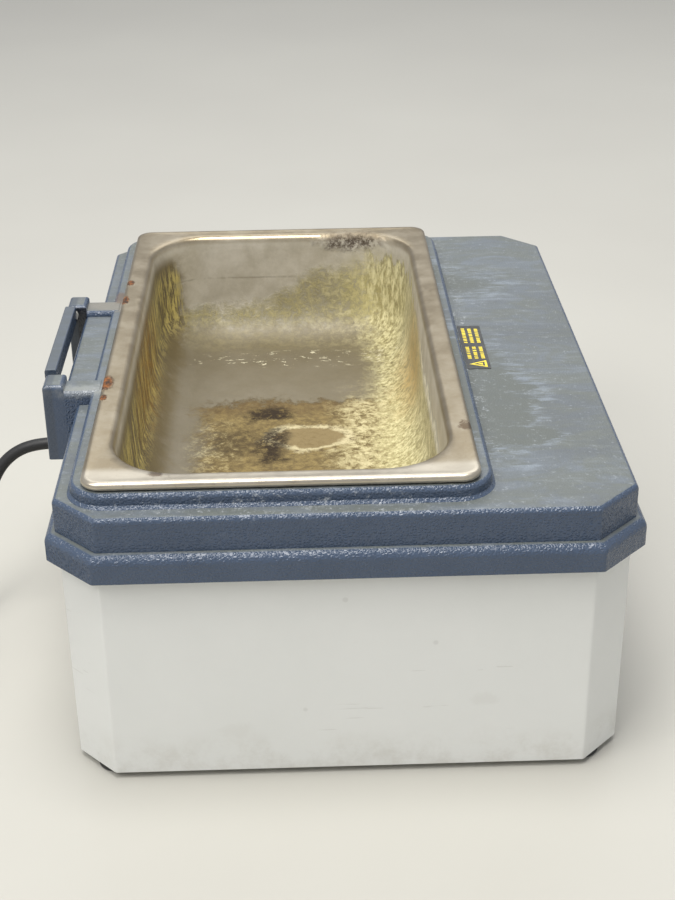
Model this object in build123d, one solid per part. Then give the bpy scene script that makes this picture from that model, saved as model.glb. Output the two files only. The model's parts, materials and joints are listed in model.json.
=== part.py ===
from build123d import *
import math
import os

# Bench-top water bath for a biology laboratory. Millimetres, +Z up.
# Origin: centre of the housing's plan, on the surface that the feet stand on.
# +X is the front with the controls, -X the rear with the lid hinge and the mains lead,
# and the pan's long side runs along Y.

os.makedirs("parts", exist_ok=True)

# ---------------------------------------------------------------- driving dimensions
FOOT_H = 3.5                                  # gap between the bench and the housing

HOUSING_W, HOUSING_L, HOUSING_CUT = 258.0, 345.0, 18.6
HOUSING_TOP = 121.5                           # the cover's inner ledge rests here
SHEET = 1.2

SKIRT_W, SKIRT_L, SKIRT_CUT = 269.6, 357.4, 22.4
SKIRT_Z, SHOULDER_Z = 111.5, 125.0
DECK_W, DECK_L, DECK_CUT, DECK_Z = 260.2, 348.4, 20.0, 141.5
COVER_WALL = 3.5

PAN_X = -28.5                                 # the pan sits towards the rear
PAN_W, PAN_L, PAN_DEPTH, PAN_SHEET = 176.0, 325.0, 65.0, 0.8
PAN_MOUTH_W, PAN_MOUTH_L, PAN_CORNER = 152.0, 300.0, 32.0
PAN_DRAFT, PAN_FLOOR_R = 3.1, 20.0
RIM_TOP, RIM_H, RIM_CORNER = 152.7, 4.0, 9.0
RIM_SHEET, RIM_DISH = 1.4, 0.5

PLINTH_X, PLINTH_W, PLINTH_L, PLINTH_R, PLINTH_Z = -28.6, 187.6, 329.0, 17.0, 148.3

ARM_IN, ARM_OUT, ARM_Z = 44.0, 59.5, 148.6    # the two arms of the hinge bridge, in |y|
BRIDGE_X, BRIDGE_Z = -136.9, 145.5
EAR_X0, EAR_X1, EAR_Z = -146.2, -135.8, 152.0
HINGE_X, HINGE_Z, HINGE_PIN_R = -143.2, 147.0, 1.5
BAR_X0, BAR_X1, BAR_Z0, BAR_Z1, BAR_HALF = -147.0, -141.2, 142.2, 152.8, 42.0

FRONT_X, REAR_X = HOUSING_W / 2, -HOUSING_W / 2
FASCIA_W, FASCIA_H, FASCIA_T, FASCIA_Z = 226.0, 72.0, 2.5, 60.0
KNOB_FACE_X = -BAR_X0                         # knob faces stand as far out as the hinge bar
DIAL_Y, LIMIT_Y, SWITCH_Y = 22.0, 84.0, -84.0
LAMP_YS = (-52.0, -34.0)
SPINDLE_R = 3.0
RUN = 0.05                                    # radial running clearance

CORD_D, CORD_LENGTH = 6.4, 1800.0
CORD_Z = 90.7
RELIEF_END_X = -150.5
COIL_X, COIL_Y, COIL_BASE = -253.2, -95.0, 1.0
COIL_IN, COIL_OUT = 5.0 * CORD_D, 7.0 * CORD_D
COIL_END = COIL_IN + CORD_D / 2               # radius where the last half turn lets go

C = (Align.CENTER, Align.CENTER, Align.CENTER)
UP = (Align.CENTER, Align.CENTER, Align.MIN)
X_AXIS = Rot(0, 90, 0)
Y_AXIS = Rot(-90, 0, 0)


# ---------------------------------------------------------------- helpers
def save(node, shape):
    """One STEP file per sub-part."""
    export_step(shape, f"parts/{node}.step")


def group(solids):
    """Identical fasteners and other repeats, kept as separate solids of one node."""
    return Compound(children=[s.solid() if len(s.solids()) == 1 else s for s in solids])


def octagon(width, length, cut, inset=0.0):
    """Rectangle with cut corners; an inset keeps every side parallel."""
    w = width / 2 - inset
    l = length / 2 - inset
    c = cut - inset * (2 - math.sqrt(2))
    corners = [(w - c, l), (w, l - c), (w, c - l), (w - c, -l), (c - w, -l), (-w, c - l), (-w, l - c), (c - w, l)]
    return make_face(Polyline(*corners, close=True))


def octagon_prism(width, length, cut, z0, z1, inset=0.0, bend=0.0):
    body = extrude(Pos(0, 0, z0) * octagon(width, length, cut, inset), z1 - z0)
    if bend:
        body = fillet(body.edges().filter_by(Axis.Z), bend)
    return body


def slab(x0, x1, y0, y1, z0, z1):
    """Box between two corners."""
    centre = Pos((x0 + x1) / 2, (y0 + y1) / 2, (z0 + z1) / 2)
    return centre * Box(x1 - x0, y1 - y0, z1 - z0)


def rounded(x, y, width, length, radius, z0, z1):
    """Upright prism on a rectangle with round corners."""
    return extrude(Pos(x, y, z0) * RectangleRounded(width, length, radius), z1 - z0)


def post(radius, x, y, z0, z1):
    return Pos(x, y, z0) * Cylinder(radius, z1 - z0, align=UP)


def rod_x(radius, x0, x1, y, z):
    return Pos(x0, y, z) * X_AXIS * Cylinder(radius, x1 - x0, align=UP)


def rod_y(radius, y0, y1, x, z):
    return Pos(x, y0, z) * Y_AXIS * Cylinder(radius, y1 - y0, align=UP)


def hexagon_nut(across, height, bore, x, y, z):
    blank = Pos(x, y, z) * extrude(RegularPolygon(across / 2, 6, major_radius=False), height)
    return blank - post(bore, x, y, z - 1, z + height + 1)


def pan_head_up(x, y, z_head, head_r, head_h, shank_r, length):
    """Screw driven upwards: its head is below z_head and its shank goes up from there."""
    head = post(head_r, x, y, z_head - head_h, z_head)
    head = fillet(head.edges().group_by(Axis.Z)[0], head_h * 0.45)
    slot = slab(x - head_r, x + head_r, y - 0.4, y + 0.4, z_head - head_h, z_head - head_h * 0.55)
    return head - slot + post(shank_r, x, y, z_head, z_head + length)


def pan_head_x(x_face, y, z, head_r, head_h, shank_r, length):
    """Screw driven towards -X into the front; its head stands on the face at x_face."""
    head = rod_x(head_r, x_face, x_face + head_h, y, z)
    head = fillet(head.edges().group_by(Axis.X)[-1], head_h * 0.45)
    slot = slab(x_face + head_h * 0.55, x_face + head_h, y - head_r, y + head_r, z - 0.4, z + 0.4)
    return head - slot + rod_x(shank_r, x_face - length, x_face, y, z)


def route_radii(points):
    """The largest arc that each corner's two runs allow, using 0.45 of the shorter run."""
    radii = []
    for a, b, c in zip(points, points[1:], points[2:]):
        before, after = Vector(*b) - Vector(*a), Vector(*c) - Vector(*b)
        turn = math.radians(before.get_angle(after))
        radii.append(0.45 * min(before.length, after.length) / math.tan(turn / 2))
    return radii


def tube(points, radius, label=None):
    """Round lead along straight runs joined by tangent arcs."""
    radii = route_radii(points)
    path = FilletPolyline(*points, radius=radii)
    start = Vector(*points[1]) - Vector(*points[0])
    lead = sweep(Plane(origin=points[0], z_dir=start) * Circle(radius), path)
    if label:
        drift = lead.volume / (path.length * math.pi * radius**2) - 1
        print(f"{label}: {path.length:.0f} mm, radii {[round(r) for r in radii]}, volume off by {drift:.2%}")
    return lead, path.length


def wires(routes, radius):
    return group([tube(points, radius)[0] for points in routes])


# ---------------------------------------------------------------- places shared by several parts
FEET = [(sx * 111.0, sy * 159.0) for sx in (-1, 1) for sy in (-1, 1)]
BOTTOM_SCREWS = [(sx * 121.0, y) for sx in (-1, 1) for y in (-100.0, 0.0, 100.0)]
COVER_SCREWS = [(sx * 113.0, sy * 155.0) for sx in (-1, 1) for sy in (-1, 1)]
STRAP_YS = (-95.0, 95.0)
STRAP_SCREW_XS = (-118.8, 64.5)
FASCIA_SCREWS = [(sy * (FASCIA_W / 2 - 7), FASCIA_Z + sz * (FASCIA_H / 2 - 7)) for sy in (-1, 1) for sz in (-1, 1)]
RIVETS = [(-62.0 + sy * 29.0, 62.0 + sz * 15.0) for sy in (-1, 1) for sz in (-1, 1)]
BREAKER_Y, BREAKER_Z = 40.0, 46.0
PLATE_Z = FOOT_H + SHEET                      # underside of the bottom plate
PLATE_TOP = PLATE_Z + SHEET
SHIELD_X = 60.5
SWITCH_OPENING = (27.0, 21.0)                 # height and width of the switch's cut-out
THERMOSTATS = {"control": (DIAL_Y, 62.0), "limit": (LIMIT_Y, 62.0)}
THERMO_SCREW_PITCH = 28.0


# ---------------------------------------------------------------- lower housing and its base
def lower_housing():
    """Painted sheet-metal wall with a flange turned in at the bottom and at the top."""
    size = (HOUSING_W, HOUSING_L, HOUSING_CUT)
    body = octagon_prism(*size, FOOT_H, HOUSING_TOP, bend=2.5)
    body -= octagon_prism(*size, FOOT_H + SHEET, HOUSING_TOP - SHEET, inset=SHEET, bend=1.3)
    body -= octagon_prism(*size, FOOT_H - 1, FOOT_H + SHEET + 1, inset=16.0)
    body -= octagon_prism(*size, HOUSING_TOP - SHEET - 1, HOUSING_TOP + 1, inset=6.0)
    for sx in (-1, 1):
        for sy in (-1, 1):
            body += post(8.0, sx * 113, sy * 155, HOUSING_TOP - SHEET, HOUSING_TOP) & octagon_prism(
                *size, HOUSING_TOP - SHEET, HOUSING_TOP, inset=0.6
            )
    for x, y in FEET:
        body -= post(1.7, x, y, FOOT_H - 1, PLATE_Z + 1)
    for x, y in BOTTOM_SCREWS:
        body -= post(1.7, x, y, FOOT_H - 1, PLATE_Z + 1)
    for x, y in COVER_SCREWS:
        body -= post(2.1, x, y, HOUSING_TOP - 3, HOUSING_TOP + 1)
    return body - front_openings(FRONT_X - 5, FRONT_X + 1) - rear_openings()


def front_openings(x0, x1):
    """Switch cut-out and the round holes for lamps and spindles."""
    height, width = SWITCH_OPENING
    cut = slab(x0, x1, SWITCH_Y - width / 2, SWITCH_Y + width / 2, FASCIA_Z - height / 2, FASCIA_Z + height / 2)
    for y in LAMP_YS:
        cut += rod_x(4.2, x0, x1, y, FASCIA_Z)
    for y, z in THERMOSTATS.values():
        cut += rod_x(5.0, x0, x1, y, z)
        for side in (-1, 1):
            cut += rod_x(2.1, x0, x1, y + side * THERMO_SCREW_PITCH / 2, z)
    for y, z in FASCIA_SCREWS:
        cut += rod_x(1.5, x0, x1, y, z)
    return cut


def rear_openings():
    cut = rod_x(6.4, REAR_X - 1, REAR_X + 5, 0, CORD_Z)
    cut += rod_x(5.6, REAR_X - 1, REAR_X + 5, BREAKER_Y, BREAKER_Z)
    for y, z in RIVETS:
        cut += rod_x(1.25, REAR_X - 1, REAR_X + 5, y, z)
    return cut


def bottom_plate():
    """Flat plate on the lower flange, with two fields of cooling slots."""
    plate = octagon_prism(HOUSING_W, HOUSING_L, HOUSING_CUT, PLATE_Z, PLATE_TOP, inset=SHEET + 0.6)
    slot = extrude(SlotOverall(30, 3), SHEET + 2)
    for x in (-70.0, -28.0, 14.0, 92.0):
        for row in range(-4, 5):
            plate -= Pos(x, row * 12.0, PLATE_Z - 1) * slot
    for x, y in FEET:
        plate -= post(1.7, x, y, PLATE_Z - 1, PLATE_TOP + 1)
    for x, y in BOTTOM_SCREWS:
        plate -= post(1.52, x, y, PLATE_Z - 1, PLATE_TOP + 1)
    return plate


def rubber_foot(x, y):
    """Low bumper with a sunk hole for its screw."""
    foot = post(8.8, x, y, 0, FOOT_H)
    foot = fillet(foot.edges().group_by(Axis.Z)[0], 1.2)
    foot -= post(3.6, x, y, -1, 1.9)
    return foot - post(1.7, x, y, 0, FOOT_H + 1)


# ---------------------------------------------------------------- top cover
def cover_shell():
    """Skirt, rounded shoulder and upper tier, before anything is hollowed."""
    skirt = octagon_prism(SKIRT_W, SKIRT_L, SKIRT_CUT, SKIRT_Z, SHOULDER_Z, bend=2.0)
    skirt = fillet(skirt.edges().group_by(Axis.Z)[-1], 4.5)
    tier = octagon_prism(DECK_W, DECK_L, DECK_CUT, SHOULDER_Z - 8, DECK_Z, bend=1.6)
    tier = fillet(tier.edges().group_by(Axis.Z)[-1], 2.6)
    return skirt + tier


def plinth():
    """Raised surround of the pan, with a rolled top edge and a swept foot."""
    block = rounded(PLINTH_X, 0, PLINTH_W, PLINTH_L, PLINTH_R, DECK_Z - 2, PLINTH_Z)
    block = fillet(block.edges().group_by(Axis.Z)[-1], 2.6)
    foot = rounded(PLINTH_X, 0, PLINTH_W + 3, PLINTH_L + 3, PLINTH_R + 1.5, DECK_Z - 2, DECK_Z + 1.5)
    foot = chamfer(foot.edges().group_by(Axis.Z)[-1], 1.45)
    return block + foot


def hinge_bridge():
    """Platform between pan and rear edge, its two arms, and the ears that carry the hinge bar."""
    middle = slab(BRIDGE_X, PLINTH_X - PLINTH_W / 2 + 4, -ARM_IN - 2, ARM_IN + 2, SKIRT_Z, BRIDGE_Z)
    middle = fillet(middle.edges().filter_by(Axis.Y).group_by(Axis.Z)[-1].sort_by(Axis.X)[0], 2.5)
    bridge = middle
    for side in (-1, 1):
        y0, y1 = sorted((side * ARM_IN, side * ARM_OUT))
        arm = slab(BRIDGE_X, PLINTH_X - PLINTH_W / 2 + 4, y0, y1, SKIRT_Z, ARM_Z)
        arm = fillet(arm.edges().filter_by(Axis.X).group_by(Axis.Z)[-1], 2.6)
        ear = slab(EAR_X0, EAR_X1, y0, y1, SKIRT_Z, EAR_Z)
        ear = fillet(ear.edges().group_by(Axis.Z)[-1], 2.4)
        ear = fillet(ear.edges().filter_by(Axis.Z).group_by(Axis.X)[0], 1.2)
        bridge += arm + ear
    return bridge


def cover_hollow():
    """Everything that is open below the cover's skin."""
    hollow = octagon_prism(SKIRT_W, SKIRT_L, SKIRT_CUT, SKIRT_Z - 1, SHOULDER_Z - COVER_WALL, inset=COVER_WALL)
    hollow += octagon_prism(DECK_W, DECK_L, DECK_CUT, SKIRT_Z, DECK_Z - COVER_WALL, inset=COVER_WALL)
    hollow += rounded(PLINTH_X, 0, PLINTH_W - 8, PLINTH_L - 8, PLINTH_R - 4, DECK_Z - 5, PLINTH_Z - 4)
    hollow += slab(BRIDGE_X + COVER_WALL, -120, -ARM_OUT + 3.5, ARM_OUT - 3.5, SKIRT_Z - 1, BRIDGE_Z - COVER_WALL)
    for side in (-1, 1):
        y0, y1 = sorted((side * (ARM_IN + 3), side * (ARM_OUT - 3)))
        hollow += slab(EAR_X0 + 2.8, EAR_X1 - 2.6, y0, y1, SKIRT_Z - 1, HINGE_Z - 8)
    return hollow


def screw_boss(x, y, z0, z1, outer, bore, depth):
    """Post below the deck with a blind pilot hole from below."""
    return post(outer, x, y, z0, z1) - post(bore, x, y, z0 - 1, z0 + depth)


def top_cover():
    cover = cover_shell() + plinth() + hinge_bridge() - cover_hollow()
    under = DECK_Z - COVER_WALL + 0.5
    for x, y in COVER_SCREWS:
        cover += screw_boss(x, y, HOUSING_TOP, under, 4.5, 1.75, 9)
    for y in STRAP_YS:
        for x in STRAP_SCREW_XS:
            cover += screw_boss(x, y, HOUSING_TOP, under, 3.4, 1.45, 9)
    cover -= rounded(PAN_X, 0, PAN_MOUTH_W + 6, PAN_MOUTH_L + 6, PAN_CORNER + 3, DECK_Z - 10, PLINTH_Z + 2)
    for side in (-1, 1):
        y0, y1 = sorted((side * (ARM_IN - 1), side * (ARM_IN + 10.2)))
        cover -= rod_y(HINGE_PIN_R, y0, y1, HINGE_X, HINGE_Z)
    return cover


# ---------------------------------------------------------------- bath pan and what heats it
def pan_form(offset, floor_z, floor_r):
    """Drafted tub with round corners, from its mouth down to its floor."""
    top = RIM_TOP - RIM_H / 2
    mouth = RectangleRounded(PAN_MOUTH_W + 2 * offset, PAN_MOUTH_L + 2 * offset, PAN_CORNER + offset)
    tub = extrude(Pos(PAN_X, 0, top) * mouth, -(top - floor_z), taper=PAN_DRAFT)
    return fillet(tub.edges().group_by(Axis.Z)[0], floor_r)


def on_mouth(edge):
    at = edge.center()
    return abs(at.X - PAN_X) < PAN_MOUTH_W / 2 + 1 and abs(at.Y) < PAN_MOUTH_L / 2 + 1


def rim_dish():
    """Shallow trough in the top of the rim, between its outer bead and its inner lip."""
    low = Pos(PAN_X, 0, RIM_TOP - RIM_DISH)
    outer = extrude(low * RectangleRounded(PAN_W - 8, PAN_L - 8, RIM_CORNER - 4), RIM_DISH + 0.1, taper=-60)
    lip = PAN_CORNER + 4
    inner = extrude(low * RectangleRounded(PAN_MOUTH_W + 8, PAN_MOUTH_L + 8, lip), RIM_DISH + 0.1, taper=50)
    return outer - inner


def bath_pan():
    floor = RIM_TOP - PAN_DEPTH
    rim = rounded(PAN_X, 0, PAN_W, PAN_L, RIM_CORNER, RIM_TOP - RIM_H, RIM_TOP)
    rim = fillet(rim.edges().group_by(Axis.Z)[-1], 1.9)
    rim = fillet(rim.edges().group_by(Axis.Z)[0], 1.4)
    groove = rounded(PAN_X, 0, PAN_W - 6.4, PAN_L - 6.4, RIM_CORNER - 3.2, RIM_TOP - RIM_H - 1, RIM_TOP - RIM_SHEET)
    lip = 3.2
    neck = rounded(
        PAN_X, 0, PAN_MOUTH_W + 2 * lip, PAN_MOUTH_L + 2 * lip, PAN_CORNER + lip, RIM_TOP - RIM_H - 2, RIM_TOP
    )
    rim -= groove - neck
    body = rim + pan_form(PAN_SHEET, floor, PAN_FLOOR_R + PAN_SHEET)
    mouth = rounded(PAN_X, 0, PAN_MOUTH_W, PAN_MOUTH_L, PAN_CORNER, RIM_TOP - RIM_H / 2 - 0.2, RIM_TOP + 1)
    body -= mouth
    body = fillet([e for e in body.edges().group_by(Axis.Z)[-1] if on_mouth(e)], 1.8)
    return body - rim_dish() - pan_form(0, floor + PAN_SHEET, PAN_FLOOR_R)


def pan_gasket():
    outer = rounded(PAN_X, 0, 169.0, 318.0, 16.0, PLINTH_Z, RIM_TOP - RIM_SHEET)
    return outer - rounded(PAN_X, 0, 160.0, 308.0, 36.5, PLINTH_Z - 1, RIM_TOP)


HEATER_TOP = RIM_TOP - PAN_DEPTH
HEATER_Z = HEATER_TOP - 2.5
HEATER_PLATE_Z = HEATER_Z - 2.0
WRAP_TOP, WRAP_Z = 134.0, 73.0
WRAP_W, WRAP_L = 170.0, 318.0
BULB_X, BULB_Z = 49.6, 100.0
BULBS = {"control": (-62.0, 8.0), "limit": (34.0, 84.0)}


def heater_mat():
    return rounded(PAN_X, 0, 100, 245, 8, HEATER_Z, HEATER_TOP)


def heater_plate():
    plate = rounded(PAN_X, 0, 104, 250, 8, HEATER_PLATE_Z, HEATER_Z)
    for y in (-80.0, 0.0, 80.0):
        plate -= post(2.2, PAN_X, y, HEATER_PLATE_Z - 1, HEATER_Z + 1)
    return plate


def pan_insulation():
    """Fibre tray that wraps the sides and floor of the pan."""
    tray = rounded(PAN_X, 0, WRAP_W, WRAP_L, 40, WRAP_Z, WRAP_TOP)
    tray = fillet(tray.edges().group_by(Axis.Z)[0], 10)
    tray -= rounded(PAN_X, 0, PAN_MOUTH_W + 3.6, PAN_MOUTH_L + 3.6, PAN_CORNER + 1.8, HEATER_PLATE_Z, WRAP_TOP + 1)
    for y0, y1 in BULBS.values():
        tray -= slab(PAN_X + PAN_MOUTH_W / 2 - 2, BULB_X + 4.6, y0 - 3, y1 + 9, BULB_Z - 6, WRAP_TOP + 1)
    return tray - rod_x(4.0, SHIELD_X - 12, SHIELD_X, 120, 90)


def pan_strap(y):
    """Band that runs under the wrapped pan and is screwed to the cover at both ends."""
    gap, band, half = 1.0, 1.2, 9.0
    x0 = PAN_X - WRAP_W / 2 - gap
    x1 = PAN_X + WRAP_W / 2 + gap
    z0 = WRAP_Z - gap
    strap = slab(x0 - band, x1 + band, y - half, y + half, z0 - band, HOUSING_TOP)
    strap -= slab(x0, x1, y - half, y + half, z0, HOUSING_TOP)
    left, right = STRAP_SCREW_XS
    for a, b, hole in ((left - 2.9, x0, left), (x1, right + 5, right)):
        tab = slab(a, b, y - half, y + half, HOUSING_TOP - band, HOUSING_TOP)
        strap += tab
        strap -= post(1.7, hole, y, HOUSING_TOP - 3, HOUSING_TOP + 1)
    return strap


def heat_shield():
    """Sheet wall between the hot bay and the controls, folded out at its foot."""
    wall = slab(SHIELD_X + 2, SHIELD_X + 3, -150, 150, PLATE_TOP, 114)
    wall += slab(SHIELD_X + 2, SHIELD_X + 14, -150, 150, PLATE_TOP, PLATE_TOP + 1)
    wall -= rod_x(5.0, SHIELD_X, SHIELD_X + 6, -120, 20)
    wall -= rod_x(4.0, SHIELD_X, SHIELD_X + 6, 120, 90)
    for y in (-130.0, 130.0):
        wall -= post(1.7, SHIELD_X + 9, y, PLATE_TOP - 1, PLATE_TOP + 2)
    return wall


def bulb(name):
    """Liquid-filled sensing bulb that lies along the pan's wall."""
    y0, y1 = BULBS[name]
    body = rod_y(3.0, y0, y1, BULB_X, BULB_Z)
    return fillet(body.edges(), 1.0)


def bulb_clips():
    """Thin spring clips that hold the bulbs."""
    clips = []
    for y0, y1 in BULBS.values():
        for y in (y0 + 12, y1 - 12):
            ring = rod_y(3.7, y - 3, y + 3, BULB_X, BULB_Z) - rod_y(3.1, y - 4, y + 4, BULB_X, BULB_Z)
            clips.append(ring - slab(BULB_X - 4, BULB_X - 1.2, y - 4, y + 4, BULB_Z - 4, BULB_Z + 4))
    return group(clips)


def capillary(name):
    """Thin copper tube from a bulb, over the wrap, to its thermostat."""
    y_body, z_body = THERMOSTATS[name]
    y_end = BULBS[name][1]
    x_body = FRONT_X - 26
    points = [
        (BULB_X, y_end, BULB_Z),
        (BULB_X, y_end + 5, BULB_Z),
        (BULB_X + 0.5, y_end + 6, BULB_Z + 24),
        (BULB_X + 3, y_end + 5, 136.0),
        (BULB_X + 22, y_end + 2, 136.2),
        (x_body, y_body + 5, 124),
        (x_body - 2, y_body, z_body + 34),
        (x_body - 2, y_body, z_body + 17),
    ]
    return tube(points, 0.8)[0]


# ---------------------------------------------------------------- controls on the front
def control_fascia():
    """Moulded plate that carries the controls, with a raised ring round each dial."""
    x0, x1 = FRONT_X, FRONT_X + FASCIA_T
    plate = slab(x0, x1, -FASCIA_W / 2, FASCIA_W / 2, FASCIA_Z - FASCIA_H / 2, FASCIA_Z + FASCIA_H / 2)
    plate = fillet(plate.edges().filter_by(Axis.X), 9)
    plate = fillet(plate.edges().group_by(Axis.X)[-1], 1.0)
    for name, radius in (("control", 30.0), ("limit", 21.0)):
        y, z = THERMOSTATS[name]
        plate += rod_x(radius, x1, x1 + 0.8, y, z)
    return plate - front_openings(x0 - 1, x1 + 2)


def thermostat(name):
    """Switch block behind the front wall, with a bush for the spindle and two threaded posts."""
    y, z = THERMOSTATS[name]
    back, front = FRONT_X - 36, FRONT_X - SHEET - 8
    block = slab(back, front, y - 19, y + 19, z - 17, z + 17)
    block = fillet(block.edges().filter_by(Axis.X), 3)
    block += rod_x(4.6, front, FRONT_X - SHEET - 1, y, z)
    block -= rod_x(SPINDLE_R + RUN, front - 12, FRONT_X, y, z)
    for side in (-1, 1):
        block += rod_x(3.2, front, FRONT_X - SHEET, y + side * THERMO_SCREW_PITCH / 2, z)
        block -= rod_x(1.52, front - 2, FRONT_X, y + side * THERMO_SCREW_PITCH / 2, z)
        block += slab(back - 7, back, y + side * 9 - 0.4, y + side * 9 + 0.4, z - 3.2, z + 3.2)
    return block


def thermostat_screws():
    screws = []
    for y, z in THERMOSTATS.values():
        for side in (-1, 1):
            place = y + side * THERMO_SCREW_PITCH / 2
            screws.append(pan_head_x(FRONT_X, place, z, 2.0, 1.2, 1.5, 9.0))
    return group(screws)


def spindle(name):
    y, z = THERMOSTATS[name]
    return rod_x(SPINDLE_R, FRONT_X - SHEET - 19, KNOB_FACE_X - 4.0, y, z)


def knob(name, radius, skirt_radius):
    """Turned knob: thin skirt, fluted grip and a raised pointer rib."""
    y, z = THERMOSTATS[name]
    x0 = FRONT_X + FASCIA_T + 1.3
    skirt = rod_x(skirt_radius, x0, x0 + 2.4, y, z)
    skirt = chamfer(skirt.edges().group_by(Axis.X)[-1], 0.8)
    grip = rod_x(radius, x0, KNOB_FACE_X - 0.6, y, z)
    grip = fillet(grip.edges().group_by(Axis.X)[-1], 1.2)
    body = skirt + grip
    count = 18
    flute = 1.3
    for i in range(count):
        angle = 2 * math.pi * i / count
        away = radius + flute * 0.35
        fy, fz = y + away * math.cos(angle), z + away * math.sin(angle)
        body -= rod_x(flute, x0 + 2.4, KNOB_FACE_X + 1, fy, fz)
    body += slab(KNOB_FACE_X - 1.2, KNOB_FACE_X, y - 0.8, y + 0.8, z + radius * 0.2, z + radius * 0.86)
    body -= rod_x(SPINDLE_R, x0 - 1, KNOB_FACE_X - 4.0, y, z)
    return body


def switch_body():
    """Double-pole rocker switch: bezel on the fascia, housing and tabs behind."""
    height, width = SWITCH_OPENING
    face = FRONT_X + FASCIA_T
    bezel = slab(face, face + 2.0, SWITCH_Y - width / 2 - 2, SWITCH_Y + width / 2 + 2,
                 FASCIA_Z - height / 2 - 2, FASCIA_Z + height / 2 + 2)
    bezel = fillet(bezel.edges().group_by(Axis.X)[-1], 0.9)
    block = slab(face - 24, face, SWITCH_Y - width / 2 + 0.3, SWITCH_Y + width / 2 - 0.3,
                 FASCIA_Z - height / 2 + 0.3, FASCIA_Z + height / 2 - 0.3)
    body = bezel + block
    body -= slab(face - 7.5, face + 3, SWITCH_Y - 8.2, SWITCH_Y + 8.2, FASCIA_Z - 11.4, FASCIA_Z + 11.4)
    for side in (-1, 1):
        for level in (-8.0, 0.0, 8.0):
            y = SWITCH_Y + side * 5
            body += slab(face - 31, face - 24, y - 0.4, y + 0.4, FASCIA_Z + level - 2.4, FASCIA_Z + level + 2.4)
    return body


ROCKER_TILT = 9.0
ROCKER_X = FRONT_X + FASCIA_T - 2.0


def switch_rocker():
    """Rocker cap that turns about Y; its lower half is pressed in at rest."""
    half, width = 10.6, 15.6
    profile = [(-3.0, -half + 1.5), (3.2, -half), (2.4, 0), (3.2, half), (-3.0, half - 1.5), (-5.0, 0)]
    face = make_face(Polyline(*[(x, 0, z) for x, z in profile], close=True))
    cap = extrude(face, width / 2, dir=(0, 1, 0), both=True)
    cap = fillet(cap.edges().filter_by(Axis.Y).group_by(Axis.X)[-1], 0.8)
    return Pos(ROCKER_X, SWITCH_Y, FASCIA_Z) * Rot(0, ROCKER_TILT, 0) * cap


def lamp(y):
    """Pilot lamp: domed lens in a thin bezel, with its barrel behind the fascia."""
    face = FRONT_X + FASCIA_T
    body = rod_x(4.1, face - 22, face, y, FASCIA_Z)
    lens = rod_x(5.4, face, face + 3.0, y, FASCIA_Z)
    return body + fillet(lens.edges().group_by(Axis.X)[-1], 1.6)


# ---------------------------------------------------------------- wiring bay
BLOCK_X, BLOCK_Y = 100.0, -118.0


def terminal_block():
    """Five-way screw terminal strip on the bottom plate."""
    strip = slab(BLOCK_X - 9, BLOCK_X + 9, BLOCK_Y - 27, BLOCK_Y + 27, PLATE_TOP, PLATE_TOP + 12)
    for i in range(5):
        y = BLOCK_Y + (i - 2) * 10.0
        strip -= post(2.4, BLOCK_X, y, PLATE_TOP + 5, PLATE_TOP + 13)
        strip -= rod_x(1.9, BLOCK_X - 10, BLOCK_X - 3.5, y, PLATE_TOP + 4.5)
    for i in range(4):
        y = BLOCK_Y + (i - 1.5) * 10.0
        strip -= slab(BLOCK_X - 10, BLOCK_X + 10, y - 0.7, y + 0.7, PLATE_TOP + 8, PLATE_TOP + 13)
    return strip


def terminal_screws():
    screws = []
    for i in range(5):
        y = BLOCK_Y + (i - 2) * 10.0
        screw = post(2.2, BLOCK_X, y, PLATE_TOP + 5, PLATE_TOP + 9)
        screw -= slab(BLOCK_X - 3, BLOCK_X + 3, y - 0.35, y + 0.35, PLATE_TOP + 8, PLATE_TOP + 10)
        screws.append(screw)
    return group(screws)


GROUND_X, GROUND_Y = 84.0, 128.0


def ground_stud():
    stud = post(5.0, GROUND_X, GROUND_Y, PLATE_TOP, PLATE_TOP + 1)
    return stud + post(2.0, GROUND_X, GROUND_Y, PLATE_TOP, PLATE_TOP + 16)


def inner_mains_wires():
    """The lead's three wires inside the housing, from the bushing to the terminals."""
    routes = []
    for i in (-1, 0, 1):
        y = i * 2.8
        routes.append([
            (REAR_X + 3, y, CORD_Z), (REAR_X + 9, y, CORD_Z), (REAR_X + 9.5, y - 4, 72), (REAR_X + 9, y - 16, 44),
            (REAR_X + 18, y - 36, 20), (REAR_X + 60, y - 62, 9.5), (-20, y - 90, 8.5), (30, y - 110, 9.5),
            (SHIELD_X - 6, y - 119, 19), (SHIELD_X + 12, y - 120, 20), (BLOCK_X - 20, BLOCK_Y + i * 10, 13),
            (BLOCK_X - 12, BLOCK_Y + i * 10, PLATE_TOP + 4.5),
        ])
    return wires(routes, 1.2)


def heater_leads():
    """Two silicone wires from the heater mat, through the shield, down to the terminals."""
    routes = []
    for side in (-1, 1):
        y = 120 + side * 1.6
        routes.append([
            (46.8, y, 90), (SHIELD_X + 4, y, 90), (SHIELD_X + 12, y - 3, 84), (SHIELD_X + 15, y - 20, 62),
            (SHIELD_X + 15, y - 70, 36), (SHIELD_X + 15, y - 140, 22), (SHIELD_X + 16, y - 200, 20),
        ])
    return wires(routes, 1.1)


def switch_leads():
    """Four wires between the switch and the terminal strip."""
    routes = []
    for i in range(4):
        y = SWITCH_Y - 9 + i * 6
        block_y = BLOCK_Y - 20 + i * 10
        routes.append([
            (FRONT_X - 30, y, FASCIA_Z - 10), (FRONT_X - 34, y - 2, FASCIA_Z - 16), (FRONT_X - 38, y - 6, 34),
            (BLOCK_X - 17, block_y + 3, 22), (BLOCK_X - 19, block_y, 12), (BLOCK_X - 12, block_y, PLATE_TOP + 4.5),
        ])
    return wires(routes, 0.9)


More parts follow.
